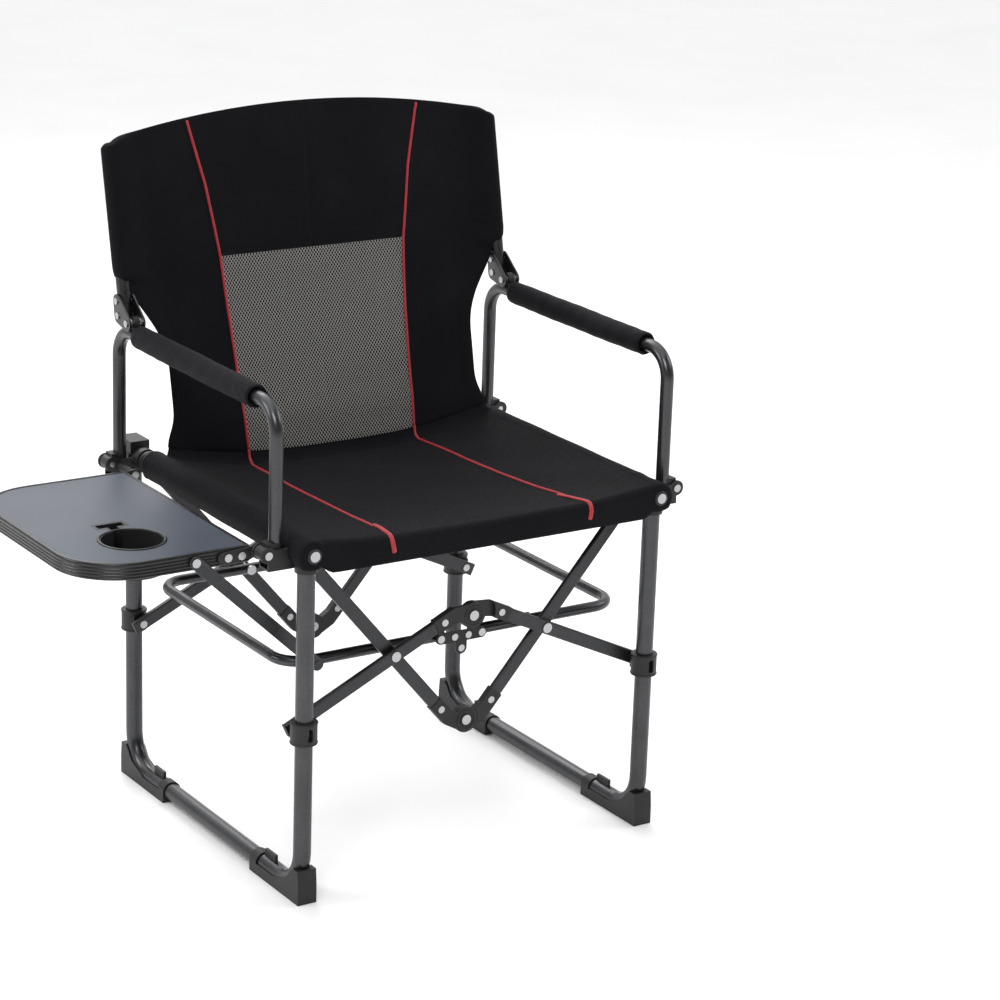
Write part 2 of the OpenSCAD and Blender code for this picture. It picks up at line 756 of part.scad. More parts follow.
// -------------------------------------------------------------------- cloth

sleeve_r = 18;
sleeve_wall = 1.8;
seat_front = rail_end + 3 + 0.3;
seat_back = crease.x + 4;
flap_t = 2.4;
flap_drop = 24;
flap_x = leg_x + sleeve_r;

module rail_sleeve() {
    difference() {
        translate([-leg_x, seat_back + 14, rail_z]) rotate([90, 0, 0])
            linear_extrude(seat_back + 14 + seat_front) ring(sleeve_r, sleeve_wall);
        translate([-leg_x - 30, -seat_front - 1, rail_z - 30]) cube([60, 70, 28]);
    }
}

// Seat: a sheet over both rails with a sleeve round each and a flap over the rails' front ends
module seat_cloth() {
    top = rail_z + sleeve_r;
    rail_sleeve();
    on_right() rail_sleeve();
    translate([-leg_x, -seat_front, top - cloth_t]) cube([leg_gap, seat_front + seat_back, cloth_t]);
    difference() {
        union() {
            translate([-leg_x, -seat_front - flap_t, rail_z - flap_drop])
                cube([leg_gap, flap_t, flap_drop + sleeve_r]);
            for (s = [-1, 1]) y_pin(s * leg_x, rail_z, sleeve_r, -seat_front - flap_t, -seat_front);
            for (s = [-1, 1]) translate([s * leg_x - sleeve_r, -seat_front - flap_t, rail_z - flap_drop])
                cube([2 * sleeve_r, flap_t, flap_drop]);
        }
        for (s = [-1, 1]) y_pin(s * leg_x, rail_z, 4, -seat_front - 10, -seat_front + 10);
    }
}

// Half outline of the back in its own plane; x grows from the fold line to the sleeve
function top_edge(x) = slope_v(back_corner_z) + back_arch * (1 - pow(x / cloth_edge, 2));
waist_v = slope_v(635);
sleeve_lo = slope_v(686);
sleeve_hi = slope_v(back_corner_z);

module wing_cloth() {
    translate([0, 0, -cloth_t / 2]) linear_extrude(cloth_t) polygon(concat(
        [[-fold_x - 0.3, 2], [-cloth_waist, 2], [-cloth_waist, waist_v - 30]],
        [for (a = [0:15:90]) [-cloth_waist - (arm_x - 12 - cloth_waist) * (1 - cos(a)),
                              waist_v - 30 + (sleeve_lo - waist_v + 30) * sin(a)]],
        [[-arm_x + 10.2, sleeve_hi - 4]],
        [for (x = [-arm_x + 12:24:-fold_x - 20]) [x, top_edge(x)]],
        [[-fold_x - 0.3, top_edge(fold_x)]]));
    translate([-arm_x, sleeve_lo, 0]) rotate([-90, 0, 0]) linear_extrude(sleeve_hi - sleeve_lo)
        ring(arm_r + 2.3, 1.6);
}

module back_middle() {
    translate([0, 0, -cloth_t / 2]) linear_extrude(cloth_t) polygon(concat(
        [[-fold_x, 2]],
        [for (x = [-fold_x:fold_x / 4:fold_x]) [x, top_edge(x)]],
        [[fold_x, 2]]));
}

handle_half = 50;
handle_rise = 20;
handle_r = (pow(handle_half, 2) + pow(handle_rise, 2)) / (2 * handle_rise);
handle_half_angle = asin(handle_half / handle_r);
handle_w = 25;

// Webbing handle, bowed out behind the back
module carry_handle() {
    on_back_plane() translate([0, 190, handle_r - handle_rise - cloth_t / 2 - 3])
        rotate([90, 0, 0]) rotate([0, 0, -90 - handle_half_angle])
            translate([0, 0, -handle_w / 2]) rotate_extrude(angle = 2 * handle_half_angle)
                translate([handle_r, 0]) square([2.5, handle_w]);
}

steel = "dimgray";
plastic = [0.12, 0.12, 0.13];
zinc = "silver";
cloth = [0.08, 0.08, 0.1];

module left_leg_frame() placed(steel) leg_frame();
module left_feet() placed(plastic) feet();
module left_seat_rail() placed(steel) seat_rail();
module left_corner_brackets() placed(steel) corner_brackets();
module left_arm_hinges() placed(plastic) arm_hinges(true);
module left_rail_plugs() placed(plastic) rail_plugs();
module left_frame_rivets() placed(zinc) frame_rivets(true);
module right_leg_frame() placed(steel) on_right() leg_frame();
module right_feet() placed(plastic) on_right() feet();
module right_seat_rail() placed(steel) on_right() seat_rail();
module right_corner_brackets() placed(steel) on_right() corner_brackets();
module right_arm_hinges() placed(plastic) on_right() arm_hinges(false);
module right_rail_plugs() placed(plastic) on_right() rail_plugs();
module right_frame_rivets() placed(zinc) on_right() frame_rivets(false);
module left_drop_links() placed(steel) drop_links();
module left_drop_knuckles() placed(plastic) drop_knuckles(-1);
module left_drop_rivets() placed(zinc) drop_rivets(true);
module right_drop_links() placed(steel) on_right() drop_links();
module right_drop_knuckles() placed(plastic) on_right() drop_knuckles(1);
module right_drop_rivets() placed(zinc) on_right() drop_rivets(false);
module left_rise_links() placed(steel) rise_links();
module left_rise_knuckles() placed(plastic) rise_knuckles(-1);
module left_rise_rivets() placed(zinc) rise_rivets(-1);
module right_rise_links() placed(steel) on_right() rise_links();
module right_rise_knuckles() placed(plastic) on_right() rise_knuckles(1);
module right_rise_rivets() placed(zinc) on_right() rise_rivets(1);
module left_collars() placed(plastic) collars();
module right_collars() placed(plastic) on_right() collars();
module left_loop() placed(steel) loop(true, false);
module left_loop_plugs() placed(plastic) loop_plugs();
module right_loop() placed(steel) on_right() loop(false, false);
module right_loop_plugs() placed(plastic) on_right() loop_plugs();
module ties() placed(plastic) tie_plates();
module ties_rivets() placed(zinc) tie_rivets();
module left_arm_tube() placed(steel) arm_tube();
module left_arm_pad() placed(cloth) arm_pad();
module left_arm_knuckles() placed(plastic) arm_knuckles();
module left_arm_tongue() placed(steel) arm_tongue();
module right_arm_tube() placed(steel) on_right() arm_tube();
module right_arm_pad() placed(cloth) on_right() arm_pad();
module right_arm_knuckles() placed(plastic) on_right() arm_knuckles();
module right_arm_tongue() placed(steel) on_right() arm_tongue();
module left_back_tube() placed(steel) back_tube();
module left_back_plates() placed(steel) back_plates();
module left_back_rivets() placed(zinc) back_rivets();
module right_back_tube() placed(steel) on_right() back_tube();
module right_back_plates() placed(steel) on_right() back_plates();
module right_back_rivets() placed(zinc) on_right() back_rivets();
module back_cloth_middle() placed(cloth) on_back_plane() back_middle();
module back_cloth_left() placed(cloth) on_back_plane() wing_cloth();
module back_cloth_right() placed(cloth) on_right() on_back_plane() wing_cloth();

left_leg_frame();
left_feet();
left_seat_rail();
left_corner_brackets();
left_arm_hinges();
left_rail_plugs();
left_frame_rivets();
right_leg_frame();
right_feet();
right_seat_rail();
right_corner_brackets();
right_arm_hinges();
right_rail_plugs();
right_frame_rivets();
left_drop_links();
left_drop_knuckles();
left_drop_rivets();
left_rise_links();
left_rise_knuckles();
left_rise_rivets();
right_drop_links();
right_drop_knuckles();
right_drop_rivets();
right_rise_links();
right_rise_knuckles();
right_rise_rivets();
left_collars();
right_collars();
left_loop();
left_loop_plugs();
right_loop();
right_loop_plugs();
ties();  // tie_plates
ties_rivets();  // tie_rivets
left_arm_tube();
left_arm_pad();
left_arm_knuckles();
left_arm_tongue();
right_arm_tube();
right_arm_pad();
right_arm_knuckles();
right_arm_tongue();
left_back_tube();
left_back_plates();
left_back_rivets();
right_back_tube();
right_back_plates();
right_back_rivets();
placed("slategray") table_board();
placed(plastic) table_rim();
placed(plastic) cup_holder();
placed(plastic) table_hinge_plates();
placed(zinc) table_rivets();
placed(steel) table_brace();
placed(cloth) seat_cloth();
back_cloth_middle();
back_cloth_left();
back_cloth_right();
placed("black") carry_handle();
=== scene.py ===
"""Looks of a folding camp chair: cloth, trim, pads, table edge and finishes."""

import json
import math

import bpy
import numpy as np
from bpy.props import FloatProperty, FloatVectorProperty, PointerProperty
from mathutils import Matrix, Vector


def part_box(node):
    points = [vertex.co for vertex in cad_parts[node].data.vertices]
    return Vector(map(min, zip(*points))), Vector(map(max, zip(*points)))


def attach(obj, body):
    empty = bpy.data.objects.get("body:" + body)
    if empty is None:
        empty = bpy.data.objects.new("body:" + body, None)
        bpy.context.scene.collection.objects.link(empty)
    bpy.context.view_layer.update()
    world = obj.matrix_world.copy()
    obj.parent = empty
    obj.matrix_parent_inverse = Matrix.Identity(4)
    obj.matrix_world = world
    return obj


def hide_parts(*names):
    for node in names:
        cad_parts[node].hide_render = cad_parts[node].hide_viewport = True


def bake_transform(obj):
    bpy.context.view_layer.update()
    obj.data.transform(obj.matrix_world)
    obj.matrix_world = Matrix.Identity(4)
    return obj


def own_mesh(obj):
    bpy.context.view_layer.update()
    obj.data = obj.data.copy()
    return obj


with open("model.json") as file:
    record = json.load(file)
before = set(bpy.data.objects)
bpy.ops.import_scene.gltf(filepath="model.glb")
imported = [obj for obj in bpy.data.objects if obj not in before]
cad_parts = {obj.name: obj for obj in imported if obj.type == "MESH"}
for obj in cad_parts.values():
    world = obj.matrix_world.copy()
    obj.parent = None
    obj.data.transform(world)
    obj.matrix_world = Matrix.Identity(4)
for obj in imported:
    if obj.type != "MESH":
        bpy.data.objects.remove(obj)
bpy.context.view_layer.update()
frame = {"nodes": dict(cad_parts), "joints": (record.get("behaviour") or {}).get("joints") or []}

bl_info = {
    "name": "Folding Camp Chair Looks",
    "version": (1, 0, 0),
    "blender": (4, 5, 0),
    "location": "View3D > Sidebar > Camp Chair",
    "description": "Cloth, trim, pads, table edge and finishes of a folding camp chair",
    "category": "Object",
}

# The chair's own middle in the row frame, from the two leg frames
LEFT_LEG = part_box("left_leg_frame")
RIGHT_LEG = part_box("right_leg_frame")
MIDDLE_X = (LEFT_LEG[0].x + RIGHT_LEG[1].x) / 2
MIDDLE_Y = (LEFT_LEG[0].y + LEFT_LEG[1].y) / 2
MM = 0.001

# Sizes in mm, measured from the chair's middle; a crease or a point is
# (y, z), and a depth of sag is a share of its greatest, at the crease
RAIL_X = 250.0
RAIL_Z = 447.0
SLEEVE_R = 18.0
SEAT_FRONT = -245.8
FLAP_BOTTOM = 423.0
CREASE = (148.2, 464.0)
RECLINE = math.radians(12.2)
CREASE_TURN = math.pi / 2 - RECLINE
ARM_X = 280.0
WAIST = 226.0
CREASE_HALF = 238.0
SAG_Y = (-246.0, -195.0, -140.0, -55.0, 30.0, 150.0)
SAG_SHARE = (0.37, 0.56, 0.72, 0.9, 0.99, 1.0)
BACK_SLEEVE_R = 10.7
CORNER_Z = 856.0
ARCH = 33.0
CLOTH_EDGE = 289.5
CREASE_BEND = 14.0
SEAT_CORNER = 9.0
MESH_TOP_Z = 702.0
BACK_LOW = 15.5
PIPING_COLUMN = 22
UPPER_HUB_Z = 320.35
COLLAR = {"y": 227.0, "z": 220.0, "r": 16.4, "half": 12.4}
CUP = (-414.0, -100.0)
# Sizes of the arm pads and the side table, in mm
PAD = {"front": -158.0, "rear": 147.0, "z": 623.0, "r": 14.5, "bore": 10.8}
TABLE = {"in": -300.0, "out": -517.0, "front": -183.0, "rear": 150.0, "corner": 80.0, "top": 450.0}


def at(x, y, z):
    """A point given in mm from the chair's middle, as metres in the row frame."""
    return (MIDDLE_X + x * MM, MIDDLE_Y + y * MM, z * MM)


def shifted(points):
    """The same for an array of points."""
    return np.asarray(points, float) * MM + np.array([MIDDLE_X, MIDDLE_Y, 0.0])


def smooth(a, b, x):
    """0 at a and before it, 1 at b and past it, with a soft start and end."""
    t = np.clip((np.asarray(x, float) - a) / (b - a), 0.0, 1.0)
    return t * t * (3 - 2 * t)


def slope_v(z):
    """Distance up the back from the crease to a height."""
    return (z - CREASE[1]) / math.cos(RECLINE)


def on_back(x, v, w):
    """A point of the back: x across, v up the slope from the crease, w out of its front."""
    s, c = math.sin(RECLINE), math.cos(RECLINE)
    return np.stack([x, CREASE[0] + v * s - w * c, CREASE[1] + v * c + w * s], axis=-1)


# ------------------------------------------------------------------ materials


class Finish:
    """A node material with the handful of links that the finishes below share."""

    def __init__(self, name):
        self.material = bpy.data.materials.new(name)
        self.material.use_nodes = True
        self.nodes = self.material.node_tree.nodes
        self.links = self.material.node_tree.links
        self.shader = self.nodes["Principled BSDF"]

    def set(self, **values):
        for key, value in values.items():
            self.shader.inputs[key.replace("_", " ")].default_value = value
        return self

    def node(self, kind, **values):
        made = self.nodes.new(kind)
        for key, value in values.items():
            if hasattr(made, key):
                setattr(made, key, value)
            else:
                made.inputs[key.replace("_", " ")].default_value = value
        return made

    def link(self, a, b):
        self.links.new(a, b)
        return b

    def place(self, kind="Object"):
        return self.node("ShaderNodeTexCoord").outputs[kind]

    def noise(self, scale, detail=3.0, where=None, rough=0.5):
        made = self.node("ShaderNodeTexNoise", Scale=scale, Detail=detail, Roughness=rough)
        self.link(where or self.place(), made.inputs["Vector"])
        return made.outputs["Fac"]

    def ramp(self, factor, *stops):
        made = self.node("ShaderNodeValToRGB")
        while len(made.color_ramp.elements) < len(stops):
            made.color_ramp.elements.new(0.5)
        for element, (spot, colour) in zip(made.color_ramp.elements, stops):
            element.position = spot
            element.color = (*colour, 1.0)
        self.link(factor, made.inputs["Fac"])
        return made.outputs["Color"]

    def span(self, factor, low, high, out_low, out_high):
        made = self.node("ShaderNodeMapRange")
        for key, value in zip(("From Min", "From Max", "To Min", "To Max"),
                              (low, high, out_low, out_high)):
            made.inputs[key].default_value = value
        self.link(factor, made.inputs["Value"])
        return made.outputs["Result"]

    def math(self, kind, a, b=None):
        made = self.node("ShaderNodeMath", operation=kind)
        for value, socket in zip((a, b), made.inputs):
            if value is None:
                continue
            if isinstance(value, (int, float)):
                socket.default_value = value
            else:
                self.link(value, socket)
        return made.outputs[0]

    def bump(self, height, strength, distance, below=None):
        made = self.node("ShaderNodeBump", Strength=strength, Distance=distance)
        self.link(height, made.inputs["Height"])
        if below is not None:
            self.link(below, made.inputs["Normal"])
        return made.outputs["Normal"]

    def colour(self, socket):
        self.link(socket, self.shader.inputs["Base Color"])

    def rough(self, socket):
        self.link(socket, self.shader.inputs["Roughness"])

    def normal(self, socket):
        self.link(socket, self.shader.inputs["Normal"])


def tint(colour, factor):
    return tuple(min(1.0, c * factor) for c in colour)


def powder_coat(name, colour, roughness=0.3):
    """Dark grey powder coat with the fine dimples of a hammered finish."""
    f = Finish(name).set(Metallic=0.9, Specular_IOR_Level=0.5)
    cells = f.noise(620.0, 2.0)
    broad = f.noise(24.0, 3.0)
    f.colour(f.ramp(f.math("ADD", f.math("MULTIPLY", cells, 0.5), f.math("MULTIPLY", broad, 0.5)),
                    (0.35, tint(colour, 0.82)), (0.5, colour), (0.66, tint(colour, 1.25))))
    f.rough(f.span(broad, 0.3, 0.7, roughness - 0.05, roughness + 0.07))
    f.normal(f.bump(cells, 0.22, 0.0004))
    return f.material


def moulding(name, colour, roughness=0.5):
    """Black moulded plastic with a fine spark texture."""
    f = Finish(name).set(Specular_IOR_Level=0.45)
    grain = f.noise(1500.0, 2.0)
    broad = f.noise(30.0, 2.0)
    f.colour(f.ramp(broad, (0.3, tint(colour, 0.75)), (0.7, tint(colour, 1.35))))
    f.rough(f.span(grain, 0.35, 0.65, roughness - 0.08, roughness + 0.1))
    f.normal(f.bump(grain, 0.2, 0.0002))
    return f.material


def bright_zinc(name, colour):
    """Turned zinc rivet heads with small scratches."""
    f = Finish(name).set(Metallic=1.0)
    scratch = f.noise(900.0, 4.0)
    f.colour(f.ramp(scratch, (0.3, tint(colour, 0.8)), (0.7, colour)))
    f.rough(f.span(scratch, 0.3, 0.7, 0.24, 0.4))
    f.normal(f.bump(scratch, 0.12, 0.0002))
    return f.material


def woven(name, colour, pitch, sheen=0.02, mottle=1.5):
    """Plain-woven polyester: warp and weft bump over a soft mottle and shallow creases."""
    f = Finish(name).set(Sheen_Weight=sheen, Sheen_Roughness=0.45, Specular_IOR_Level=0.1)
    place = f.place("UV")
    split = f.node("ShaderNodeSeparateXYZ")
    f.link(place, split.inputs[0])
    turns = 2 * math.pi / pitch
    warp = f.math("SINE", f.math("MULTIPLY", split.outputs["X"], turns))
    weft = f.math("SINE", f.math("MULTIPLY", split.outputs["Y"], turns))
    weave = f.math("MULTIPLY", warp, weft)
    fibre = f.noise(220.0, 4.0, place)
    broad = f.noise(9.0, 3.0, place)
    mixed = f.math("ADD", f.math("MULTIPLY", fibre, 0.35), f.math("MULTIPLY", broad, 0.65))
    f.colour(f.ramp(mixed, (0.32, tint(colour, 0.72)), (0.5, colour), (0.7, tint(colour, mottle))))
    f.rough(f.span(fibre, 0.3, 0.7, 0.72, 0.9))
    crease = f.bump(f.noise(16.0, 4.0, place, 0.55), 0.16, 0.006)
    f.normal(f.bump(weave, 0.35, 0.0003, crease))
    return f.material


def open_mesh(name, thread, hole, across, down):
    """Honeycomb mesh: light diagonal threads round staggered dark holes, with a painted highlight
    along each thread's crown.
    """
    f = Finish(name).set(Sheen_Weight=0.15, Sheen_Roughness=0.4, Specular_IOR_Level=0.3)
    place = f.place("UV")
    split = f.node("ShaderNodeSeparateXYZ")
    f.link(place, split.inputs[0])
    u = f.math("MULTIPLY", split.outputs["X"], math.pi / across)
    v = f.math("MULTIPLY", split.outputs["Y"], math.pi / down)
    rising = f.math("ABSOLUTE", f.math("COSINE", f.math("ADD", u, v)))
    falling = f.math("ABSOLUTE", f.math("COSINE", f.math("SUBTRACT", u, v)))
    nearest = f.math("MINIMUM", rising, falling)
    twist = f.noise(260.0, 3.0, place)
    edge = f.math("ADD", nearest, f.math("MULTIPLY", twist, 0.12))
    # Painted highlight: each thread is 1.15 times lighter along its raised centre than at its edges
    f.colour(f.ramp(edge, (0.0, tint(thread, 1.15)), (0.28, thread), (0.46, hole), (1.0, hole)))
    f.rough(f.span(nearest, 0.2, 0.6, 0.55, 0.9))
    f.normal(f.bump(f.math("SUBTRACT", 1.0, edge), 0.6, 0.0008))
    return f.material


def corded(name, colour):
    """Red cord: twisted yarn along its length, with painted shade in the twist's grooves and a
    painted highlight on its crowns.
    """
    f = Finish(name).set(Sheen_Weight=0.3, Sheen_Roughness=0.35)
    place = f.place("UV")
    split = f.node("ShaderNodeSeparateXYZ")
    f.link(place, split.inputs[0])
    twist = f.math("SINE", f.math("MULTIPLY", f.math("ADD", split.outputs["X"], split.outputs["Y"]),
                                  2 * math.pi / 0.0016))
    # Painted shade and highlight: the red is 0.62 times darker in the twist's grooves and 1.2 times
    # lighter on its crowns
    f.colour(f.ramp(f.span(twist, -1.0, 1.0, 0.0, 1.0),
                    (0.1, tint(colour, 0.62)), (0.8, tint(colour, 1.2))))
    f.rough(f.span(twist, -1.0, 1.0, 0.45, 0.65))
    f.normal(f.bump(twist, 0.3, 0.0003))
    return f.material


def table_finish(name, colour):
    """Satin slate-grey sheet with a faint orange peel."""
    f = Finish(name).set(Specular_IOR_Level=0.3)
    peel = f.noise(420.0, 2.0)
    broad = f.noise(7.0, 3.0)
    f.colour(f.ramp(broad, (0.3, tint(colour, 0.88)), (0.7, tint(colour, 1.14))))
    f.rough(f.span(broad, 0.3, 0.7, 0.42, 0.52))
    f.normal(f.bump(peel, 0.08, 0.0003))
    return f.material


def studio_floor(name):
    f = Finish(name).set(Roughness=0.55)
    f.colour(f.ramp(f.noise(3.0, 2.0), (0.3, (0.93, 0.93, 0.93)), (0.7, (0.96, 0.96, 0.96))))
    return f.material


MATERIALS = {}


def material(key):
    """Each finish is made once, on first use, from the colours in the panel."""
    if key not in MATERIALS:
        looks = bpy.context.scene.camp_chair_looks
        steel, cloth = tuple(looks.frame_colour), tuple(looks.cloth_colour)
        plastic = tuple(looks.plastic_colour)
        MATERIALS[key] = {
            "frame": lambda: powder_coat("Hammered_Grey_Steel", steel),
            "link": lambda: powder_coat("Grey_Link_Steel", tint(steel, 0.8), 0.42),
            "plastic": lambda: moulding("Black_Moulding", plastic),
            "gloss": lambda: moulding("Black_Gloss_Moulding", plastic, 0.3),
            "zinc": lambda: bright_zinc("Zinc_Rivets", (0.5, 0.5, 0.51)),
            "cloth": lambda: woven("Black_Polyester", cloth, looks.weave_pitch),
            "pad": lambda: woven("Pad_Cover", tint(cloth, 1.15), looks.weave_pitch, 0.05),
            "webbing": lambda: woven("Black_Webbing", tint(cloth, 0.9), 0.0022, 0.02),
            "mesh": lambda: open_mesh("Honeycomb_Mesh", tuple(looks.thread_colour),
                                      (0.004, 0.004, 0.005), looks.mesh_across, looks.mesh_down),
            "cord": lambda: corded("Red_Cord", tuple(looks.piping_colour)),
            "table": lambda: table_finish("Slate_Table_Top", tuple(looks.table_colour)),
            "floor": lambda: studio_floor("Pale_Floor"),
        }[key]()
    return MATERIALS[key]


# ---------------------------------------------------------------- mesh makers


def mesh_piece(name, points, faces, keys, uv=None, face_keys=None):
    """A smooth-shaded mesh from points in mm, with one material for each key."""
    mesh = bpy.data.meshes.new(name)
    mesh.from_pydata([tuple(p) for p in shifted(points)], [], faces)
    for key in keys:
        mesh.materials.append(material(key))
    mesh.polygons.foreach_set("use_smooth", [True] * len(mesh.polygons))
    if face_keys is not None:
        mesh.polygons.foreach_set("material_index", face_keys)
    if uv is not None:
        layer = mesh.uv_layers.new(name="Weave")
        index = np.zeros(len(mesh.loops), np.int64)
        mesh.loops.foreach_get("vertex_index", index)
        spread = (np.asarray(uv, float) * MM)[index]
        layer.data.foreach_set("uv", spread.astype(np.float32).ravel())
    mesh.update()
    mesh.validate()
    piece = bpy.data.objects.new(name, mesh)
    bpy.context.scene.collection.objects.link(piece)
    return piece


def grid_faces(rows, columns, offset=0, wrap=False):
    """Quads over a grid of points, closed round its columns if it wraps."""
    faces = []
    for i in range(rows - 1):
        for j in range(columns if wrap else columns - 1):
            k = (j + 1) % columns
            faces.append((offset + i * columns + j, offset + i * columns + k,
                          offset + (i + 1) * columns + k, offset + (i + 1) * columns + j))
    return faces


def sheet_piece(name, grid, uv, keys=("cloth",), face_keys=None, thickness=1.3, flip=False):
    """A cloth sheet from a grid of points, given a real thickness about its middle."""
    rows, columns = grid.shape[:2]
    faces = grid_faces(rows, columns)
    if flip:
        faces = [tuple(reversed(face)) for face in faces]
    piece = mesh_piece(name, grid.reshape(-1, 3), faces, keys, uv.reshape(-1, 2), face_keys)
    solid = piece.modifiers.new("Thickness", "SOLIDIFY")
    solid.thickness = thickness * MM
    solid.offset = 0.0
    even = piece.modifiers.new("Even_Shading", "WEIGHTED_NORMAL")
    even.mode = "FACE_AREA"
    even.weight = 100
    return piece


def circle(radius, size, step, squeeze=1.0):
    """Round section of a ring for lathe_piece."""
    return [(radius + size * math.cos(a), size * math.sin(a) * squeeze)
            for a in np.radians(np.arange(0, 360, step))]


def along_path(path):
    """Unit directions of a path of points and the distance to each of them."""
    run = np.gradient(path, axis=0)
    run /= np.linalg.norm(run, axis=1)[:, None]
    steps = np.linalg.norm(np.diff(path, axis=0), axis=1)
    return run, np.concatenate([[0], np.cumsum(steps)])


def rope_piece(name, paths, radius, key, sides=10, flat=1.0):
    """Round cords along lists of points, in one mesh, with closed ends."""
    points, faces, uv = [], [], []
    for path in paths:
        path = np.asarray(path, float)
        start = len(points)
        run, length = along_path(path)
        up = np.array([0.0, 0.0, 1.0])
        if abs(run[0] @ up) > 0.9:
            up = np.array([0.0, -1.0, 0.0])
        for p, d, s in zip(path, run, length):
            side = np.cross(d, up)
            side /= np.linalg.norm(side)
            up = np.cross(side, d)
            for k in range(sides):
                a = 2 * math.pi * k / sides
                points.append(p + radius * (math.cos(a) * side + flat * math.sin(a) * up))
                uv.append((s, radius * a))
        faces += grid_faces(len(path), sides, start, wrap=True)
        for first, order, tip in ((start, -1, path[0]), (len(points) - sides, 1, path[-1])):
            ring = [first + k for k in range(sides)][::order]
            points.append(tip + (run[0] * -0.5 if order < 0 else run[-1] * 0.5) * radius)
            uv.append((0, 0))
            faces += [(ring[k], ring[(k + 1) % sides], len(points) - 1) for k in range(sides)]
    return mesh_piece(name, points, faces, (key,), uv)


def lathe_piece(name, spots, profile, key, sides=40, axis="y"):
    """Turned shapes: a closed profile of (radius, depth), once at each spot, in one mesh.
    A spot is a point and the direction, +1 or -1, in which the depth grows along the axis."""
    points, faces = [], []
    for centre, sign in spots:
        start = len(points)
        for radius, depth in profile:
            for k in range(sides):
                a = 2 * math.pi * k / sides
                if axis == "y":
                    points.append((centre[0] + radius * math.cos(a), centre[1] + sign * depth,
                                   centre[2] + radius * math.sin(a)))
                else:
                    points.append((centre[0] + radius * math.cos(a),
                                   centre[1] + radius * math.sin(a), centre[2] + sign * depth))
        ring = grid_faces(len(profile) + 1, sides, 0, wrap=True)
        total = len(profile) * sides
        ring = [tuple(start + v % total for v in face) for face in ring]
        faces += ring if (sign > 0) == (axis == "y") else [tuple(reversed(f)) for f in ring]
    return mesh_piece(name, points, faces, (key,))


# -------------------------------------------------------------------- seat


def piping_x(v):
    """Half distance between the two red cords on the back, up the slope."""
    return np.interp(v, [slope_v(z) for z in (440, 464, 519, 612, 702, 790, 893)],
                     [126.0, 125.0, 127.0, 131.0, 137.0, 151.0, 176.0])


def seat_piping_x(y):
    return np.interp(y, [-200.0, -140.0, -55.0, 30.0, 135.0, 150.0],
                     [138.5, 135.0, 132.0, 131.0, 128.0, 126.0])


def hang(share):
    """How far cloth hung between two rails has dropped, at a share of its half width."""
    return 1.0 - np.abs(share) ** 3


def seat_top(x, y, sag):
    """Height of the seat's cloth, with shallow tension folds."""
    across = hang(np.asarray(x, float) / RAIL_X)
    folds = 0.45 * np.sin(x / 23.0 + y / 31.0) * np.sin(y / 57.0) * np.clip(across * 1.5, 0, 1)
    level = RAIL_Z + SLEEVE_R - 1.0 * smooth(60, 140, y)
    return level - sag * np.interp(y, SAG_Y, SAG_SHARE) * across + folds * (1 - smooth(90, 130, y))


def crease_drop(share, sag):
    """Drop of the crease below its two ends, as a height and as a slope distance."""
    down = sag * hang(share)
    return down, down / math.cos(RECLINE)


def bend_start(down):
    """Where the seat begins to turn up into the back, with the crease that far down."""
    return CREASE[0] - CREASE_BEND * math.tan(CREASE_TURN / 2) - down * math.tan(RECLINE)


def seat_grid(columns, sag):
    """The seat's cloth from the flap's hem over the front edge, back to the crease and up behind
    the back's lower edge."""
    corner, rows = SEAT_CORNER, []
    x = columns * RAIL_X
    front_top = seat_top(x, SEAT_FRONT + corner, sag)
    hem = FLAP_BOTTOM + 13.0 * smooth(222, 250, np.abs(x))
    for t in np.linspace(0, 1, 10):
        rows.append((x, SEAT_FRONT - 0.5 * math.sin(math.pi * t) + 0 * x,
                     hem + t * (front_top - corner - hem)))
    for a in np.radians(np.linspace(165, 90, 6)):
        rows.append((x, SEAT_FRONT + corner + corner * math.cos(a) + 0 * x,
                     front_top - corner + corner * math.sin(a)))
    down, along = crease_drop(columns, sag)
    end = bend_start(down)
    start = SEAT_FRONT + corner
    for t in np.linspace(0, 1, 62)[1:]:
        y = start + t * (end - start)
        half = RAIL_X - (RAIL_X - CREASE_HALF) * 0.3 * smooth(0.9, 1.0, t)
        rows.append((columns * half, y, seat_top(x, start + t * (CREASE[0] - start), sag)))
    for a in np.linspace(0, CREASE_TURN, 9)[1:]:
        half = RAIL_X - (RAIL_X - CREASE_HALF) * (0.3 + 0.7 * smooth(0, CREASE_TURN, a))
        rows.append((columns * half, end + CREASE_BEND * math.sin(a),
                     CREASE[1] - down + CREASE_BEND * (1 - math.cos(a))))
    short = 1.0 - smooth(0.72, 0.97, np.abs(columns))
    for v, w in ((2.7, -1.4), (5.7, -2.6), (10.7, -2.8)):
        lip = on_back(columns * CREASE_HALF, 11.3 + v * short - along, w + 0 * x)
        rows.append((lip[:, 0], lip[:, 1], lip[:, 2]))
    return np.array([np.stack(row, axis=-1) for row in rows])


class CAMP_OT_seat_cloth(bpy.types.Operator):
    """Seat sheet between the rails, with the flap over the front and the lip at the crease"""

    bl_idname = "camp_chair.seat_cloth"
    bl_label = "Seat Cloth"

    def execute(self, context):
        looks = context.scene.camp_chair_looks
        grid = seat_grid(np.linspace(-1, 1, 81), looks.seat_sag / MM)
        run = along_path(grid[:, grid.shape[1] // 2])[1]
        uv = np.stack([grid[:, :, 0], np.repeat(run[:, None], grid.shape[1], axis=1)], axis=-1)
        piece = sheet_piece("Seat_Sheet", grid, uv, thickness=1.6)
        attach(piece, "seat")
        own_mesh(piece)
        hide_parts("seat_cloth")
        return {"FINISHED"}


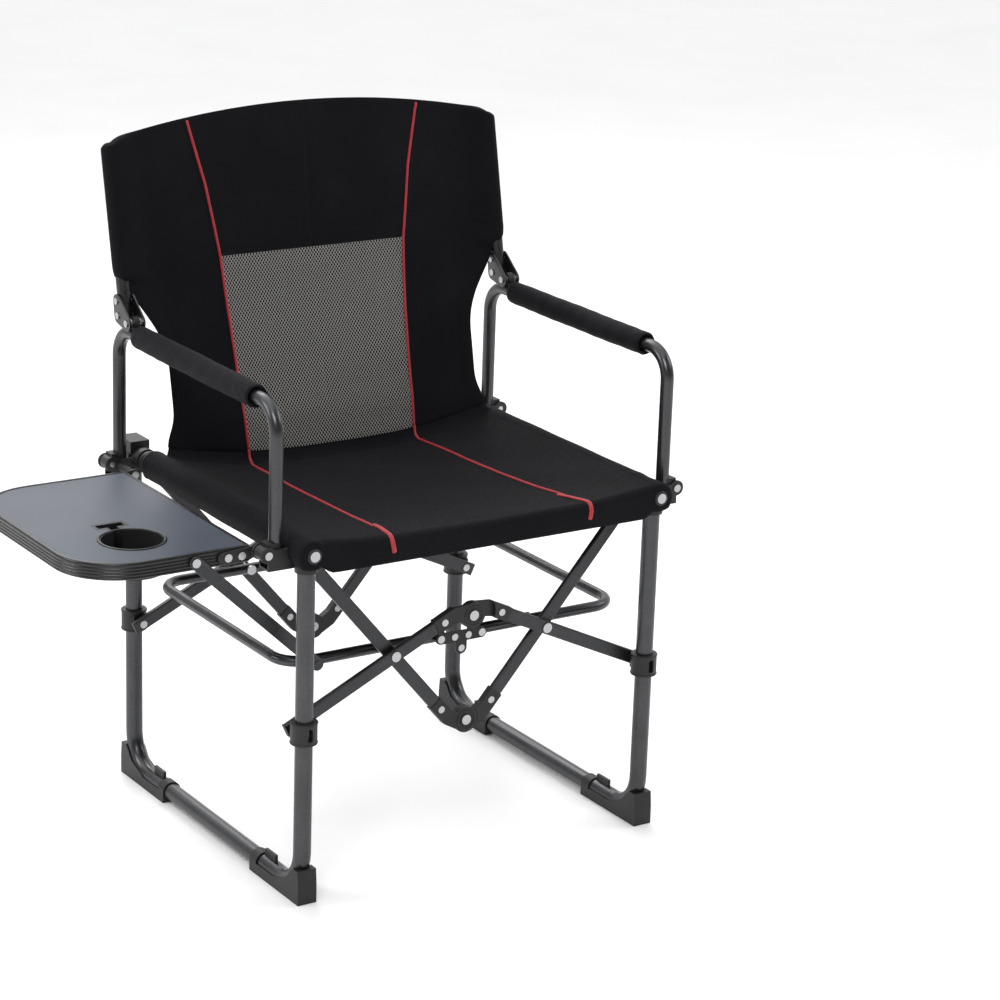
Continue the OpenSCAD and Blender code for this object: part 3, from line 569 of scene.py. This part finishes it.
class CAMP_OT_seat_sleeves(bpy.types.Operator):
    """Sleeves round the seat rails, with the rounded lobes that close them at the front"""

    bl_idname = "camp_chair.seat_sleeves"
    bl_label = "Seat Sleeves"

    def execute(self, context):
        for side, sign, body in (("Left", -1, "left_frame"), ("Right", 1, "right_frame")):
            rows, uv = [], []
            front, rear = SEAT_FRONT - 0.6, CREASE[0] + 18
            stations = [(front + 0.2, 9.5), (front - 0.1, 12.0), (front, 15.0), (front + 0.9, 17.0),
                        (front + 2.6, 18.4), (front + 6.0, 18.9)]
            stations += [(y, SLEEVE_R) for y in np.linspace(front + 16, rear - 6, 70)]
            stations += [(rear - 2.5, SLEEVE_R + 0.5), (rear, SLEEVE_R + 0.3),
                         (rear + 0.6, SLEEVE_R - 0.8), (rear, SLEEVE_R - 1.6),
                         (rear - 5, SLEEVE_R - 1.8)]
            for y, r in stations:
                a = np.radians(np.linspace(0, 360, 49))
                clamp = 0.9 * (math.exp(-((y + 192) / 9) ** 2) + math.exp(-((y + 228) / 10) ** 2))
                ripple = 0.22 * np.sin(y / 17.0 + 3 * np.cos(a)) + clamp
                fold = 1.6 * np.exp(-((a - math.radians(225)) / 0.22) ** 2)
                radius = r + (ripple + fold if 14 < r else 0)
                rows.append(np.stack([sign * (RAIL_X - radius * np.cos(a)), np.full_like(a, y),
                                      RAIL_Z + radius * np.sin(a)], axis=-1))
                uv.append(np.stack([r * a, np.full_like(a, y)], axis=-1))
            piece = sheet_piece(f"Seat_Sleeve_{side}", np.array(rows), np.array(uv),
                                thickness=0.9, flip=sign < 0)
            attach(piece, body)
            washer = lathe_piece(f"Corner_Washer_{side}",
                                 [((sign * RAIL_X, front - 0.6, RAIL_Z), 1)],
                                 [(3.2, 0.9), (8.6, 0.9), (9.6, 0.2), (9.6, -0.3), (8.2, -0.9),
                                  (6.4, -1.0), (3.2, -0.6)], "plastic")
            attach(washer, body)
        return {"FINISHED"}


class CAMP_OT_seat_trim(bpy.types.Operator):
    """Red cords on the seat and the two short tabs over its front edge"""

    bl_idname = "camp_chair.seat_trim"
    bl_label = "Seat Trim"

    def execute(self, context):
        looks = context.scene.camp_chair_looks
        sag, radius = looks.seat_sag / MM, looks.piping_radius / MM
        cord_x = 125.0
        down, along = crease_drop(cord_x / CREASE_HALF, sag)
        end = bend_start(down)
        paths, tabs = [], []
        for sign in (-1, 1):
            line = [tuple(on_back(np.array(sign * (cord_x + 0.4)), v - along, 1.4))
                    for v in (17.0, 13.5)]
            line += [(sign * (cord_x + 0.4 + 1.0 * (1 - a)),
                      end + CREASE_BEND * math.sin(a) - 1.2 * math.sin(a),
                      CREASE[1] - down + CREASE_BEND * (1 - math.cos(a)) + 1.2 * math.cos(a))
                     for a in (1.15, 0.95, 0.75, 0.5, 0.25)]
            for y in np.linspace(end - 4, -193.0, 40):
                x = seat_piping_x(y)
                on_seat = float(seat_top(x, y + 5 * smooth(90, 130, y), sag))
                line.append((sign * x, y, on_seat + 1.1))
            paths.append(line)
            top = [(133.2, -187.0, 0.9), (134.6, -194.0, 1.5), (136.5, -205.0, 1.8),
                   (139.0, -218.0, 1.5), (141.5, -230.0, 1.3), (143.0, -237.0, 1.0)]
            tab = [(sign * x, y, float(seat_top(x, y, sag)) + lift) for x, y, lift in top]
            edge = float(seat_top(143.0, SEAT_FRONT + SEAT_CORNER, sag))
            over = [(143.6, 4.0, 0.4), (143.6, 0.6, 4.0), (143.2, -1.3, 9.0), (142.2, -1.7, 14.0),
                    (141.2, -1.7, 19.0)]
            tab += [(sign * x, SEAT_FRONT + behind, edge - below) for x, behind, below in over]
            tabs.append(tab)
        for name, lines, size, flat in (("Seat_Piping", paths, radius, 0.8),
                                        ("Seat_Tabs", tabs, radius * 1.75, 0.45)):
            piece = rope_piece(name, lines, size, "cord", flat=flat)
            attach(piece, "seat")
            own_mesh(piece)
        return {"FINISHED"}


# -------------------------------------------------------------------- back


def back_half(sign, belly, hem, sag):
    """Grid, weave coordinates and face materials of one half of the back, from its middle out."""
    mesh_top, v_low = slope_v(MESH_TOP_Z), BACK_LOW
    lower = list(np.linspace(0, 1, 44) * (mesh_top - v_low) + v_low)
    mesh_rows = len(lower) - 1
    lower += [mesh_top + 1.2, mesh_top + 4.0]
    upper = [("top", t) for t in np.linspace(0.04, 1, 40)]
    inner = np.linspace(0, 1, PIPING_COLUMN + 1)
    outer = np.linspace(0, 1, 25)[1:]
    wrap = np.linspace(0, 1, 21)[1:]
    grid, uv = [], []

    def edge(v):
        """Half width of the cloth's face, and how far it has become a sleeve."""
        rise = float(smooth(slope_v(566.0), slope_v(704.0), v)) ** 1.3
        flare = float(smooth(slope_v(520.0), slope_v(464.0), v)) ** 1.5
        return (WAIST + (ARM_X - WAIST) * rise + (CREASE_HALF - WAIST) * flare,
                float(smooth(slope_v(678.0), slope_v(690.0), v)))

    for row in lower + upper:
        if isinstance(row, tuple):
            top = lambda x: slope_v(CORNER_Z) + ARCH * (1 - (x / CLOTH_EDGE) ** 2)
            base = mesh_top + 4.0
            level = lambda x, t=row[1]: base + (top(x) - base) * t
            share = row[1]
        else:
            low = max(0.0, (mesh_top - row) / (mesh_top - v_low)) ** 1.5
            level = lambda x, v=row, low=low: v - low * (
                crease_drop(np.clip(x / CREASE_HALF, 0, 1), sag)[1]
                + 6.0 * smooth(0.72, 0.97, x / CREASE_HALF))
            share = 0.0
        probe = float(level(np.array([200.0]))[0])
        face_edge, sleeve = edge(probe)
        pipe = float(piping_x(probe))
        x = np.concatenate([inner * pipe, pipe + outer * (face_edge - pipe)])
        v = level(x)
        edge_drop = 11.0 * np.clip((x - 262) / 28, 0, 1) ** 2 * share ** 6
        v = v - edge_drop
        pinch = math.sqrt(max(0.0, 1 - smooth(0.955, 1.0, share) ** 2 * 0.97))
        up = np.clip((v - v_low) / (slope_v(CORNER_Z) - v_low), 0, 1)
        depth = (-belly * np.sin(math.pi * up ** 0.8) * (1 - (x / face_edge) ** 2)
                 * smooth(0.0, 0.12, up))
        rise = BACK_SLEEVE_R * sleeve * smooth(face_edge - 46, face_edge, x) * pinch
        tension = (0.7 * np.sin(x / 9.5 + 0.6 * sign) * smooth(pipe + 6, pipe + 50, x)
                   * smooth(face_edge - 4, face_edge - 30, x)
                   * np.sin(math.pi * np.clip(up * 1.1, 0, 1)))
        drape = 0.6 * np.sin(v / 41.0 + x / 37.0) * np.sin(x / 29.0) * smooth(0.0, 0.1, up)
        band = 0.9 * smooth(0.0, 0.02, share) if share > 0 else 0.0
        hemmed = hem * smooth(0.93, 0.945, share) * (1 - 0.6 * smooth(0.98, 1.0, share))
        w = depth + rise + tension + drape + band * smooth(pipe + 2, pipe - 2, x) + hemmed
        side_hem = hem * (1 - sleeve) * smooth(face_edge - 15, face_edge - 13, x)
        w = w + side_hem
        a = np.radians(90 - 190 * np.clip(wrap / 0.7, 0, 1))
        home = np.clip((wrap - 0.7) / 0.3, 0, 1)
        radius = BACK_SLEEVE_R
        seam_x = face_edge - 36
        seam_w = float(np.interp(seam_x, x, w)) - 2.0
        tube_x = face_edge + radius * np.cos(a) * 0.97
        tube_x = tube_x + home * (seam_x - tube_x)
        tube_w = radius * np.sin(a) * pinch
        tube_w = tube_w + home * (seam_w - tube_w)
        hem_x = (face_edge - 13.0 * np.clip(wrap * 1.2 - 0.2, 0, 1)
                 + 0.8 * np.sin(math.pi * wrap))
        hem_w = w[-1] - 2.4 * smooth(0, 0.35, wrap)
        end_x = hem_x + (tube_x - hem_x) * sleeve
        end_w = hem_w + (tube_w - hem_w) * sleeve
        past = np.clip((end_x - face_edge) / 10, 0, 1)
        end_v = np.full_like(end_x, v[-1]) - 5.0 * past ** 2 * share ** 6
        all_x = np.concatenate([x, end_x])
        all_w = np.concatenate([w, end_w])
        all_v = np.concatenate([v, end_v])
        grid.append(on_back(sign * all_x, all_v, all_w))
        girth = math.radians(270) * radius * sleeve + 14 * (1 - sleeve)
        arc = np.concatenate([x, face_edge + wrap * girth])
        uv.append(np.stack([sign * arc, all_v], axis=-1))
    keys = [1 if i < mesh_rows and j < PIPING_COLUMN else 0
            for i in range(len(grid) - 1) for j in range(len(grid[0]) - 1)]
    return np.array(grid), np.array(uv), keys


def back_halves(looks):
    """Side, sign and back_half for the left and the right."""
    sizes = looks.back_belly / MM, looks.hem_height / MM, looks.seat_sag / MM
    return [(side, sign, *back_half(sign, *sizes)) for side, sign in (("Left", -1), ("Right", 1))]


class CAMP_OT_back_cloth(bpy.types.Operator):
    """Back in two halves with the mesh panel, the hem and the sleeves round the uprights"""

    bl_idname = "camp_chair.back_cloth"
    bl_label = "Back Cloth"

    def execute(self, context):
        for side, sign, grid, uv, keys in back_halves(context.scene.camp_chair_looks):
            piece = sheet_piece(f"Back_{side}", grid, uv, ("cloth", "mesh"), keys, thickness=1.5,
                                flip=sign < 0)
            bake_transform(piece)
            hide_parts(f"back_cloth_{side.lower()}", "back_cloth_middle")
        return {"FINISHED"}


class CAMP_OT_back_trim(bpy.types.Operator):
    """Red cords on the back, each with a flat welt beside it"""

    bl_idname = "camp_chair.back_trim"
    bl_label = "Back Trim"

    def execute(self, context):
        looks = context.scene.camp_chair_looks
        radius = looks.piping_radius / MM
        front = np.array([0, -math.cos(RECLINE), math.sin(RECLINE)])
        for side, _, grid, _, _ in back_halves(looks):
            seam, beside = grid[:-1, PIPING_COLUMN], grid[:-1, PIPING_COLUMN + 1]
            cord = rope_piece(f"Back_Piping_{side}", [seam + front * 1.0], radius, "cord")
            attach(cord, f"{side.lower()}_wing")
            welt = rope_piece(f"Back_Welt_{side}", [beside * 0.5 + seam * 0.5 + front * 0.2],
                              1.9, "cloth", flat=0.5)
            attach(welt, f"{side.lower()}_wing")
        return {"FINISHED"}


class CAMP_OT_carry_strap(bpy.types.Operator):
    """Webbing strap on the back, with its sewn ends"""

    bl_idname = "camp_chair.carry_strap"
    bl_label = "Carry Strap"

    def execute(self, context):
        half, rise, width, thick, height = 40.0, 15.0, 25.0, 2.2, 190.0
        bow = (half ** 2 + rise ** 2) / (2 * rise)
        flat = -context.scene.camp_chair_looks.back_belly / MM - 2.4
        middle = flat + bow - rise
        spread = math.asin(half / bow)
        centre = [(-half - 16, flat), (-half - 9, flat), (-half - 3, flat - 0.4)]
        centre += [(bow * math.sin(a), middle - (bow + thick / 2) * math.cos(a))
                   for a in np.linspace(-spread + 0.05, spread - 0.05, 31)]
        centre += [(half + 3, flat - 0.4), (half + 9, flat), (half + 16, flat)]
        centre = np.array(centre)
        run, length = along_path(centre)
        normal = np.stack([-run[:, 1], run[:, 0]], axis=-1)
        side, turn = width / 2, width / 2 - 0.8
        section = [(-side, -0.5), (-turn, -1.0), (0, -1.15), (turn, -1.0), (side, -0.5),
                   (side, 0.5), (turn, 1.0), (0, 1.15), (-turn, 1.0), (-side, 0.5)]
        points, uv = [], []
        for p, n, s in zip(centre, normal, length):
            for across, off in section:
                q = p + n * off * thick / 2
                points.append(on_back(q[0], height + across, q[1]))
                uv.append((s, across))
        count = len(section)
        faces = grid_faces(len(centre), count, 0, wrap=True)
        faces += [tuple(range(count))[::-1], tuple(range(len(points) - count, len(points)))]
        piece = mesh_piece("Carry_Strap", points, faces, ("webbing",), uv)
        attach(piece, "back_middle")
        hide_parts("carry_handle")
        return {"FINISHED"}


# -------------------------------------------------------------------- arms


class CAMP_OT_arm_pads(bpy.types.Operator):
    """Foam arm pads in a sewn cloth cover, open at both ends round the tube"""

    bl_idname = "camp_chair.arm_pads"
    bl_label = "Arm Pads"

    def execute(self, context):
        looks = context.scene.camp_chair_looks
        swell = looks.pad_swell / MM
        front, rear, z, full, bore = (PAD[k] for k in ("front", "rear", "z", "r", "bore"))
        for side, sign in (("Left", -1), ("Right", 1)):
            end = [(12.0, bore), (5.0, bore), (1.2, bore + 0.7), (0.0, bore + 1.9),
                   (0.5, full - 1.0), (2.4, full - 0.1)]
            stations = [(front + inward, r) for inward, r in end]
            stations += [(y, full + swell * math.sin(math.pi * (y - front) / (rear - front)))
                         for y in np.linspace(front + 6.5, rear - 6.5, 64)]
            stations += [(rear - inward, r) for inward, r in reversed(end)]
            points, uv = [], []
            sides = 56
            for y, r in stations:
                for k in range(sides):
                    a = 2 * math.pi * k / sides
                    live = 1.0 if r > full - 1 else 0.0
                    from_seam = (a - math.radians(292) + math.pi) % (2 * math.pi) - math.pi
                    seam = math.exp(-(from_seam / 0.06) ** 2)
                    crinkle = (0.16 * math.sin(y / 5.3 + 2 * math.sin(a + y / 60))
                               + 0.2 * math.sin(y / 19.0 + a)
                               + 0.3 * math.exp(-((y - front) / 22) ** 2) * math.sin(a * 7 + y / 4))
                    radius = r + live * (crinkle + 0.7 * seam)
                    points.append((sign * (ARM_X - radius * math.cos(a)), y,
                                   z + radius * math.sin(a)))
                    uv.append((full * a, y))
            faces = grid_faces(len(stations), sides, 0, wrap=True)
            last = (len(stations) - 1) * sides
            faces += [(last + k, last + (k + 1) % sides, (k + 1) % sides, k) for k in range(sides)]
            if sign < 0:
                faces = [tuple(reversed(face)) for face in faces]
            piece = mesh_piece(f"Arm_Pad_{side}", points, faces, ("pad",), uv)
            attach(piece, f"{side.lower()}_arm")
            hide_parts(f"{side.lower()}_arm_pad")
        return {"FINISHED"}


# -------------------------------------------------------------------- table


def table_outline(steps=14):
    """The table's edge line and its outward directions, round the two outer corners."""
    x0, x1, y0, y1, r = (TABLE[key] for key in ("out", "in", "front", "rear", "corner"))
    small = 4.0
    spots = []
    for cx, cy, radius, first in ((x0 + r, y0 + r, r, 180), (x1 - small, y0 + small, small, 270),
                                  (x1 - small, y1 - small, small, 0), (x0 + r, y1 - r, r, 90)):
        for a in np.radians(np.linspace(first, first + 90, steps)):
            c, s = math.cos(a), math.sin(a)
            spots.append((cx + radius * c, cy + radius * s, c, s))
    return spots


class CAMP_OT_table_edge(bpy.types.Operator):
    """Black edge band of the side table with its long grooves, and the bead round the cup"""

    bl_idname = "camp_chair.table_edge"
    bl_label = "Table Edge"

    def execute(self, context):
        top = TABLE["top"]
        profile = [(-5.0, top - 18.5), (-5.0, top + 0.2), (-4.4, top + 0.9), (-3.0, top + 1.1),
                   (-1.4, top + 0.8), (-0.4, top - 0.3), (0.0, top - 1.8)]
        for k in range(4):
            z = top - 3.6 - 3.9 * k
            profile += [(0.0, z), (-0.9, z - 0.6), (-0.9, z - 1.2), (0.0, z - 1.8)]
        profile += [(-0.2, top - 18.6), (-1.4, top - 19.8), (-3.6, top - 20.0)]
        outline = table_outline()
        points, uv = [], []
        run = 0.0
        for i, (x, y, nx, ny) in enumerate(outline):
            if i:
                run += math.hypot(x - outline[i - 1][0], y - outline[i - 1][1])
            for off, z in profile:
                points.append((x + nx * off, y + ny * off, z))
                uv.append((run, z))
        count = len(profile)
        total = len(points)
        faces = [tuple(v % total for v in face)
                 for face in grid_faces(len(outline) + 1, count, 0, wrap=True)]
        piece = mesh_piece("Table_Edge", points, faces, ("gloss",), uv)
        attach(piece, "table")
        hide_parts("table_rim")
        bead = circle(39.6, 1.5, 30, 1.1 / 1.5)
        ring = lathe_piece("Cup_Ring", [((*CUP, top + 0.3), 1)], bead, "gloss", 72, "z")
        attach(ring, "table")
        return {"FINISHED"}


# ------------------------------------------------------------- small mouldings


class CAMP_OT_hub_rings(bpy.types.Operator):
    """Moulded rings on the hub discs and the beads round the collars"""

    bl_idname = "camp_chair.hub_rings"
    bl_label = "Hub Rings"

    def execute(self, context):
        lower = next(j for j in frame["joints"] if j["name"] == "lower_hub")["pos_m"]
        rings = [circle(12.6, 1.0, 45, 0.9), circle(8.6, 0.7, 45, 0.9)]
        for name, body, z, face in (("Lower_Hub", "left_drop_link", lower[2] / MM, 197.4),
                                    ("Upper_Hub", "left_rise_link", UPPER_HUB_Z, 207.9)):
            for number, profile in enumerate(rings):
                piece = lathe_piece(f"{name}_Ring_{number + 1}",
                                    [((0, -face, z), -1), ((0, face, z), 1)], profile, "plastic")
                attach(piece, body)
        for side, sign in (("left", -1), ("right", 1)):
            spots = [((sign * RAIL_X, y, COLLAR["z"] + dz), 1)
                     for y in (-COLLAR["y"], COLLAR["y"])
                     for dz in (-COLLAR["half"], COLLAR["half"])]
            piece = lathe_piece(f"Collar_Beads_{side}", spots, circle(COLLAR["r"], 0.9, 45),
                                "plastic", axis="z")
            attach(piece, f"{side}_collar_pair")
        return {"FINISHED"}


# ----------------------------------------------------------------- finishes


def cad_finish(node):
    """The finish of a node of the frame, from its name."""
    if "rivets" in node:
        return "zinc"
    if node == "table_board":
        return "table"
    if node.endswith("_links") or node == "table_brace":
        return "link"
    plastics = ("feet", "plugs", "knuckles", "collars", "corner_brackets", "tongue", "arm_hinges",
                "tie_plates", "hinge_plates", "cup_holder", "table_rim")
    if any(word in node for word in plastics):
        return "plastic"
    if "cloth" in node or "pad" in node or "handle" in node:
        return "cloth"
    return "frame"


class CAMP_OT_frame_finish(bpy.types.Operator):
    """Powder coat, mouldings, rivets and table top on the fixed frame"""

    bl_idname = "camp_chair.frame_finish"
    bl_label = "Frame Finish"

    def execute(self, context):
        for name, node in frame["nodes"].items():
            node.data.materials.clear()
            node.data.materials.append(material(cad_finish(name)))
        return {"FINISHED"}


def studio_world():
    """White ahead of the camera and grey behind it, so that tubes have dark and light sides."""
    world = bpy.data.worlds.new("Studio")
    world.use_nodes = True
    tree = world.node_tree
    background = tree.nodes["Background"]
    background.inputs["Strength"].default_value = 1.0
    towards = tree.nodes.new("ShaderNodeVectorMath")
    towards.operation = "DOT_PRODUCT"
    towards.inputs[1].default_value = (0.55, 0.83, 0.0)
    place = tree.nodes.new("ShaderNodeTexCoord")
    tree.links.new(place.outputs["Generated"], towards.inputs[0])
    shade = tree.nodes.new("ShaderNodeValToRGB")
    for element, spot, colour in zip(shade.color_ramp.elements, (0.12, 0.62),
                                     ((0.2, 0.2, 0.205, 1.0), (1.0, 1.0, 1.0, 1.0))):
        element.position = spot
        element.color = colour
    tree.links.new(towards.outputs["Value"], shade.inputs["Fac"])
    tree.links.new(shade.outputs["Color"], background.inputs["Color"])
    return world


def view_turn(azimuth, pitch, roll):
    """Turn of a camera that looks along an azimuth from +Y, down by a pitch, all in degrees."""
    azimuth, pitch, roll = (math.radians(angle) for angle in (azimuth, pitch, roll))
    forward = Vector((math.sin(azimuth) * math.cos(pitch), math.cos(azimuth) * math.cos(pitch),
                      -math.sin(pitch)))
    right = forward.cross(Vector((0, 0, 1))).normalized()
    up = right.cross(forward)
    right, up = (right * math.cos(roll) + up * math.sin(roll),
                 up * math.cos(roll) - right * math.sin(roll))
    return Matrix([[right[i], up[i], -forward[i]] for i in range(3)]).to_quaternion()


class CAMP_OT_stage(bpy.types.Operator):
    """Pale floor, soft studio light and the camera"""

    bl_idname = "camp_chair.stage"
    bl_label = "Stage"

    def execute(self, context):
        scene = context.scene
        size = 14.0
        corners = [(-size, -size, 0), (size, -size, 0), (size, size, 0), (-size, size, 0)]
        floor_mesh = bpy.data.meshes.new("Floor")
        floor_mesh.from_pydata(corners, [], [(0, 1, 2, 3)])
        floor_mesh.materials.append(material("floor"))
        floor = bpy.data.objects.new("Floor", floor_mesh)
        scene.collection.objects.link(floor)
        floor.location.z = -0.0004
        scene.world = studio_world()

        aim = Vector(at(0, 0, 420))
        for name, place, width, power in (("Key", (-1.9, -2.4, 2.6), 1.6, 62.0),
                                          ("Fill", (2.8, -1.2, 1.8), 1.8, 30.0),
                                          ("Rim", (0.4, 2.6, 2.3), 2.0, 46.0),
                                          ("Side", (-2.6, 0.8, 1.2), 1.2, 26.0)):
            lamp = bpy.data.lights.new(name, "AREA")
            lamp.shape = "RECTANGLE"
            lamp.size, lamp.size_y = width, width * 0.8
            lamp.energy = power
            holder = bpy.data.objects.new(name, lamp)
            scene.collection.objects.link(holder)
            holder.location = aim + Vector(place)
            holder.rotation_euler = (aim - holder.location).to_track_quat("-Z", "Y").to_euler()

        sky = bpy.data.lights.new("Sky", "SUN")
        sky.energy, sky.angle = 1.7, 1.4
        sky_holder = bpy.data.objects.new("Sky", sky)
        scene.collection.objects.link(sky_holder)
        sky_holder.rotation_euler = (math.radians(-12), math.radians(-8), 0)

        camera = bpy.data.cameras.new("Camera")
        camera.sensor_width = 36.0
        camera.lens = 109.2
        camera.clip_start, camera.clip_end = 0.1, 60.0
        holder = bpy.data.objects.new("Camera", camera)
        scene.collection.objects.link(holder)
        holder.rotation_mode = "QUATERNION"
        holder.rotation_quaternion = view_turn(33.55, 17.47, 1.99)
        holder.location = at(-1929.26, -3166.48, 1582.48)
        scene.camera = holder
        scene.view_settings.view_transform = "Standard"
        scene.view_settings.look = "None"
        return {"FINISHED"}


# ------------------------------------------------------------------ settings


def colour_property(name, text, value):
    return FloatVectorProperty(name=name, description=text, subtype="COLOR", size=3, min=0.0,
                               max=1.0, default=value)


def length_property(name, text, value):
    return FloatProperty(name=name, description=text, default=value, unit="LENGTH", precision=4)


class CampChairLooks(bpy.types.PropertyGroup):
    frame_colour: colour_property("Frame Colour", "Powder coat on the tubes", (0.07, 0.071, 0.074))
    plastic_colour: colour_property("Moulding Colour", "Black moulded parts",
                                    (0.008, 0.008, 0.009))
    cloth_colour: colour_property("Cloth Colour", "Woven seat and back", (0.0045, 0.0045, 0.006))
    thread_colour: colour_property("Thread Colour", "Light threads of the mesh panel",
                                   (0.33, 0.32, 0.3))
    piping_colour: colour_property("Piping Colour", "Corded trim", (0.4, 0.012, 0.022))
    table_colour: colour_property("Table Colour", "Side table top", (0.05, 0.06, 0.08))
    seat_sag: length_property("Seat Sag", "Depth of the seat between its rails", 0.0285)
    seat_keep: FloatProperty(name="Folded Width", default=0.168, min=0.05, max=1.0,
                             description="Share of the seat's width left when folded")
    back_belly: length_property("Back Belly", "How far the back bows behind its uprights", 0.009)
    hem_height: length_property("Hem Height", "How far a sewn hem stands above the cloth", 0.0008)
    piping_radius: length_property("Piping Radius", "Radius of the red cord", 0.0018)
    pad_swell: length_property("Pad Swell", "Fullness of the arm pads at their middle", 0.0005)
    weave_pitch: length_property("Weave Pitch", "Width of one thread pair", 0.0011)
    mesh_across: length_property("Mesh Width", "Width of one cell of the mesh panel", 0.0044)
    mesh_down: length_property("Mesh Height", "Height of one cell of the mesh panel", 0.0062)


OPERATORS = (CAMP_OT_frame_finish, CAMP_OT_seat_sleeves, CAMP_OT_seat_cloth, CAMP_OT_seat_trim,
             CAMP_OT_back_cloth, CAMP_OT_back_trim, CAMP_OT_carry_strap, CAMP_OT_arm_pads,
             CAMP_OT_table_edge, CAMP_OT_hub_rings, CAMP_OT_stage)


class CAMP_PT_panel(bpy.types.Panel):
    """Sizes, colours and pieces of the camp chair"""

    bl_idname = "CAMP_PT_panel"
    bl_label = "Camp Chair"
    bl_space_type = "VIEW_3D"
    bl_region_type = "UI"
    bl_category = "Camp Chair"

    def draw(self, context):
        looks = context.scene.camp_chair_looks
        for name in looks.__annotations__:
            self.layout.prop(looks, name)
        for kind in OPERATORS:
            self.layout.operator(kind.bl_idname)


def register():
    for kind in (CampChairLooks, *OPERATORS, CAMP_PT_panel):
        bpy.utils.register_class(kind)
    bpy.types.Scene.camp_chair_looks = PointerProperty(type=CampChairLooks)


def unregister():
    del bpy.types.Scene.camp_chair_looks
    for kind in reversed((CampChairLooks, *OPERATORS, CAMP_PT_panel)):
        bpy.utils.unregister_class(kind)


def main():
    register()
    for kind in OPERATORS:
        group, name = kind.bl_idname.split(".")
        getattr(getattr(bpy.ops, group), name)()


if __name__ == "__main__":
    main()
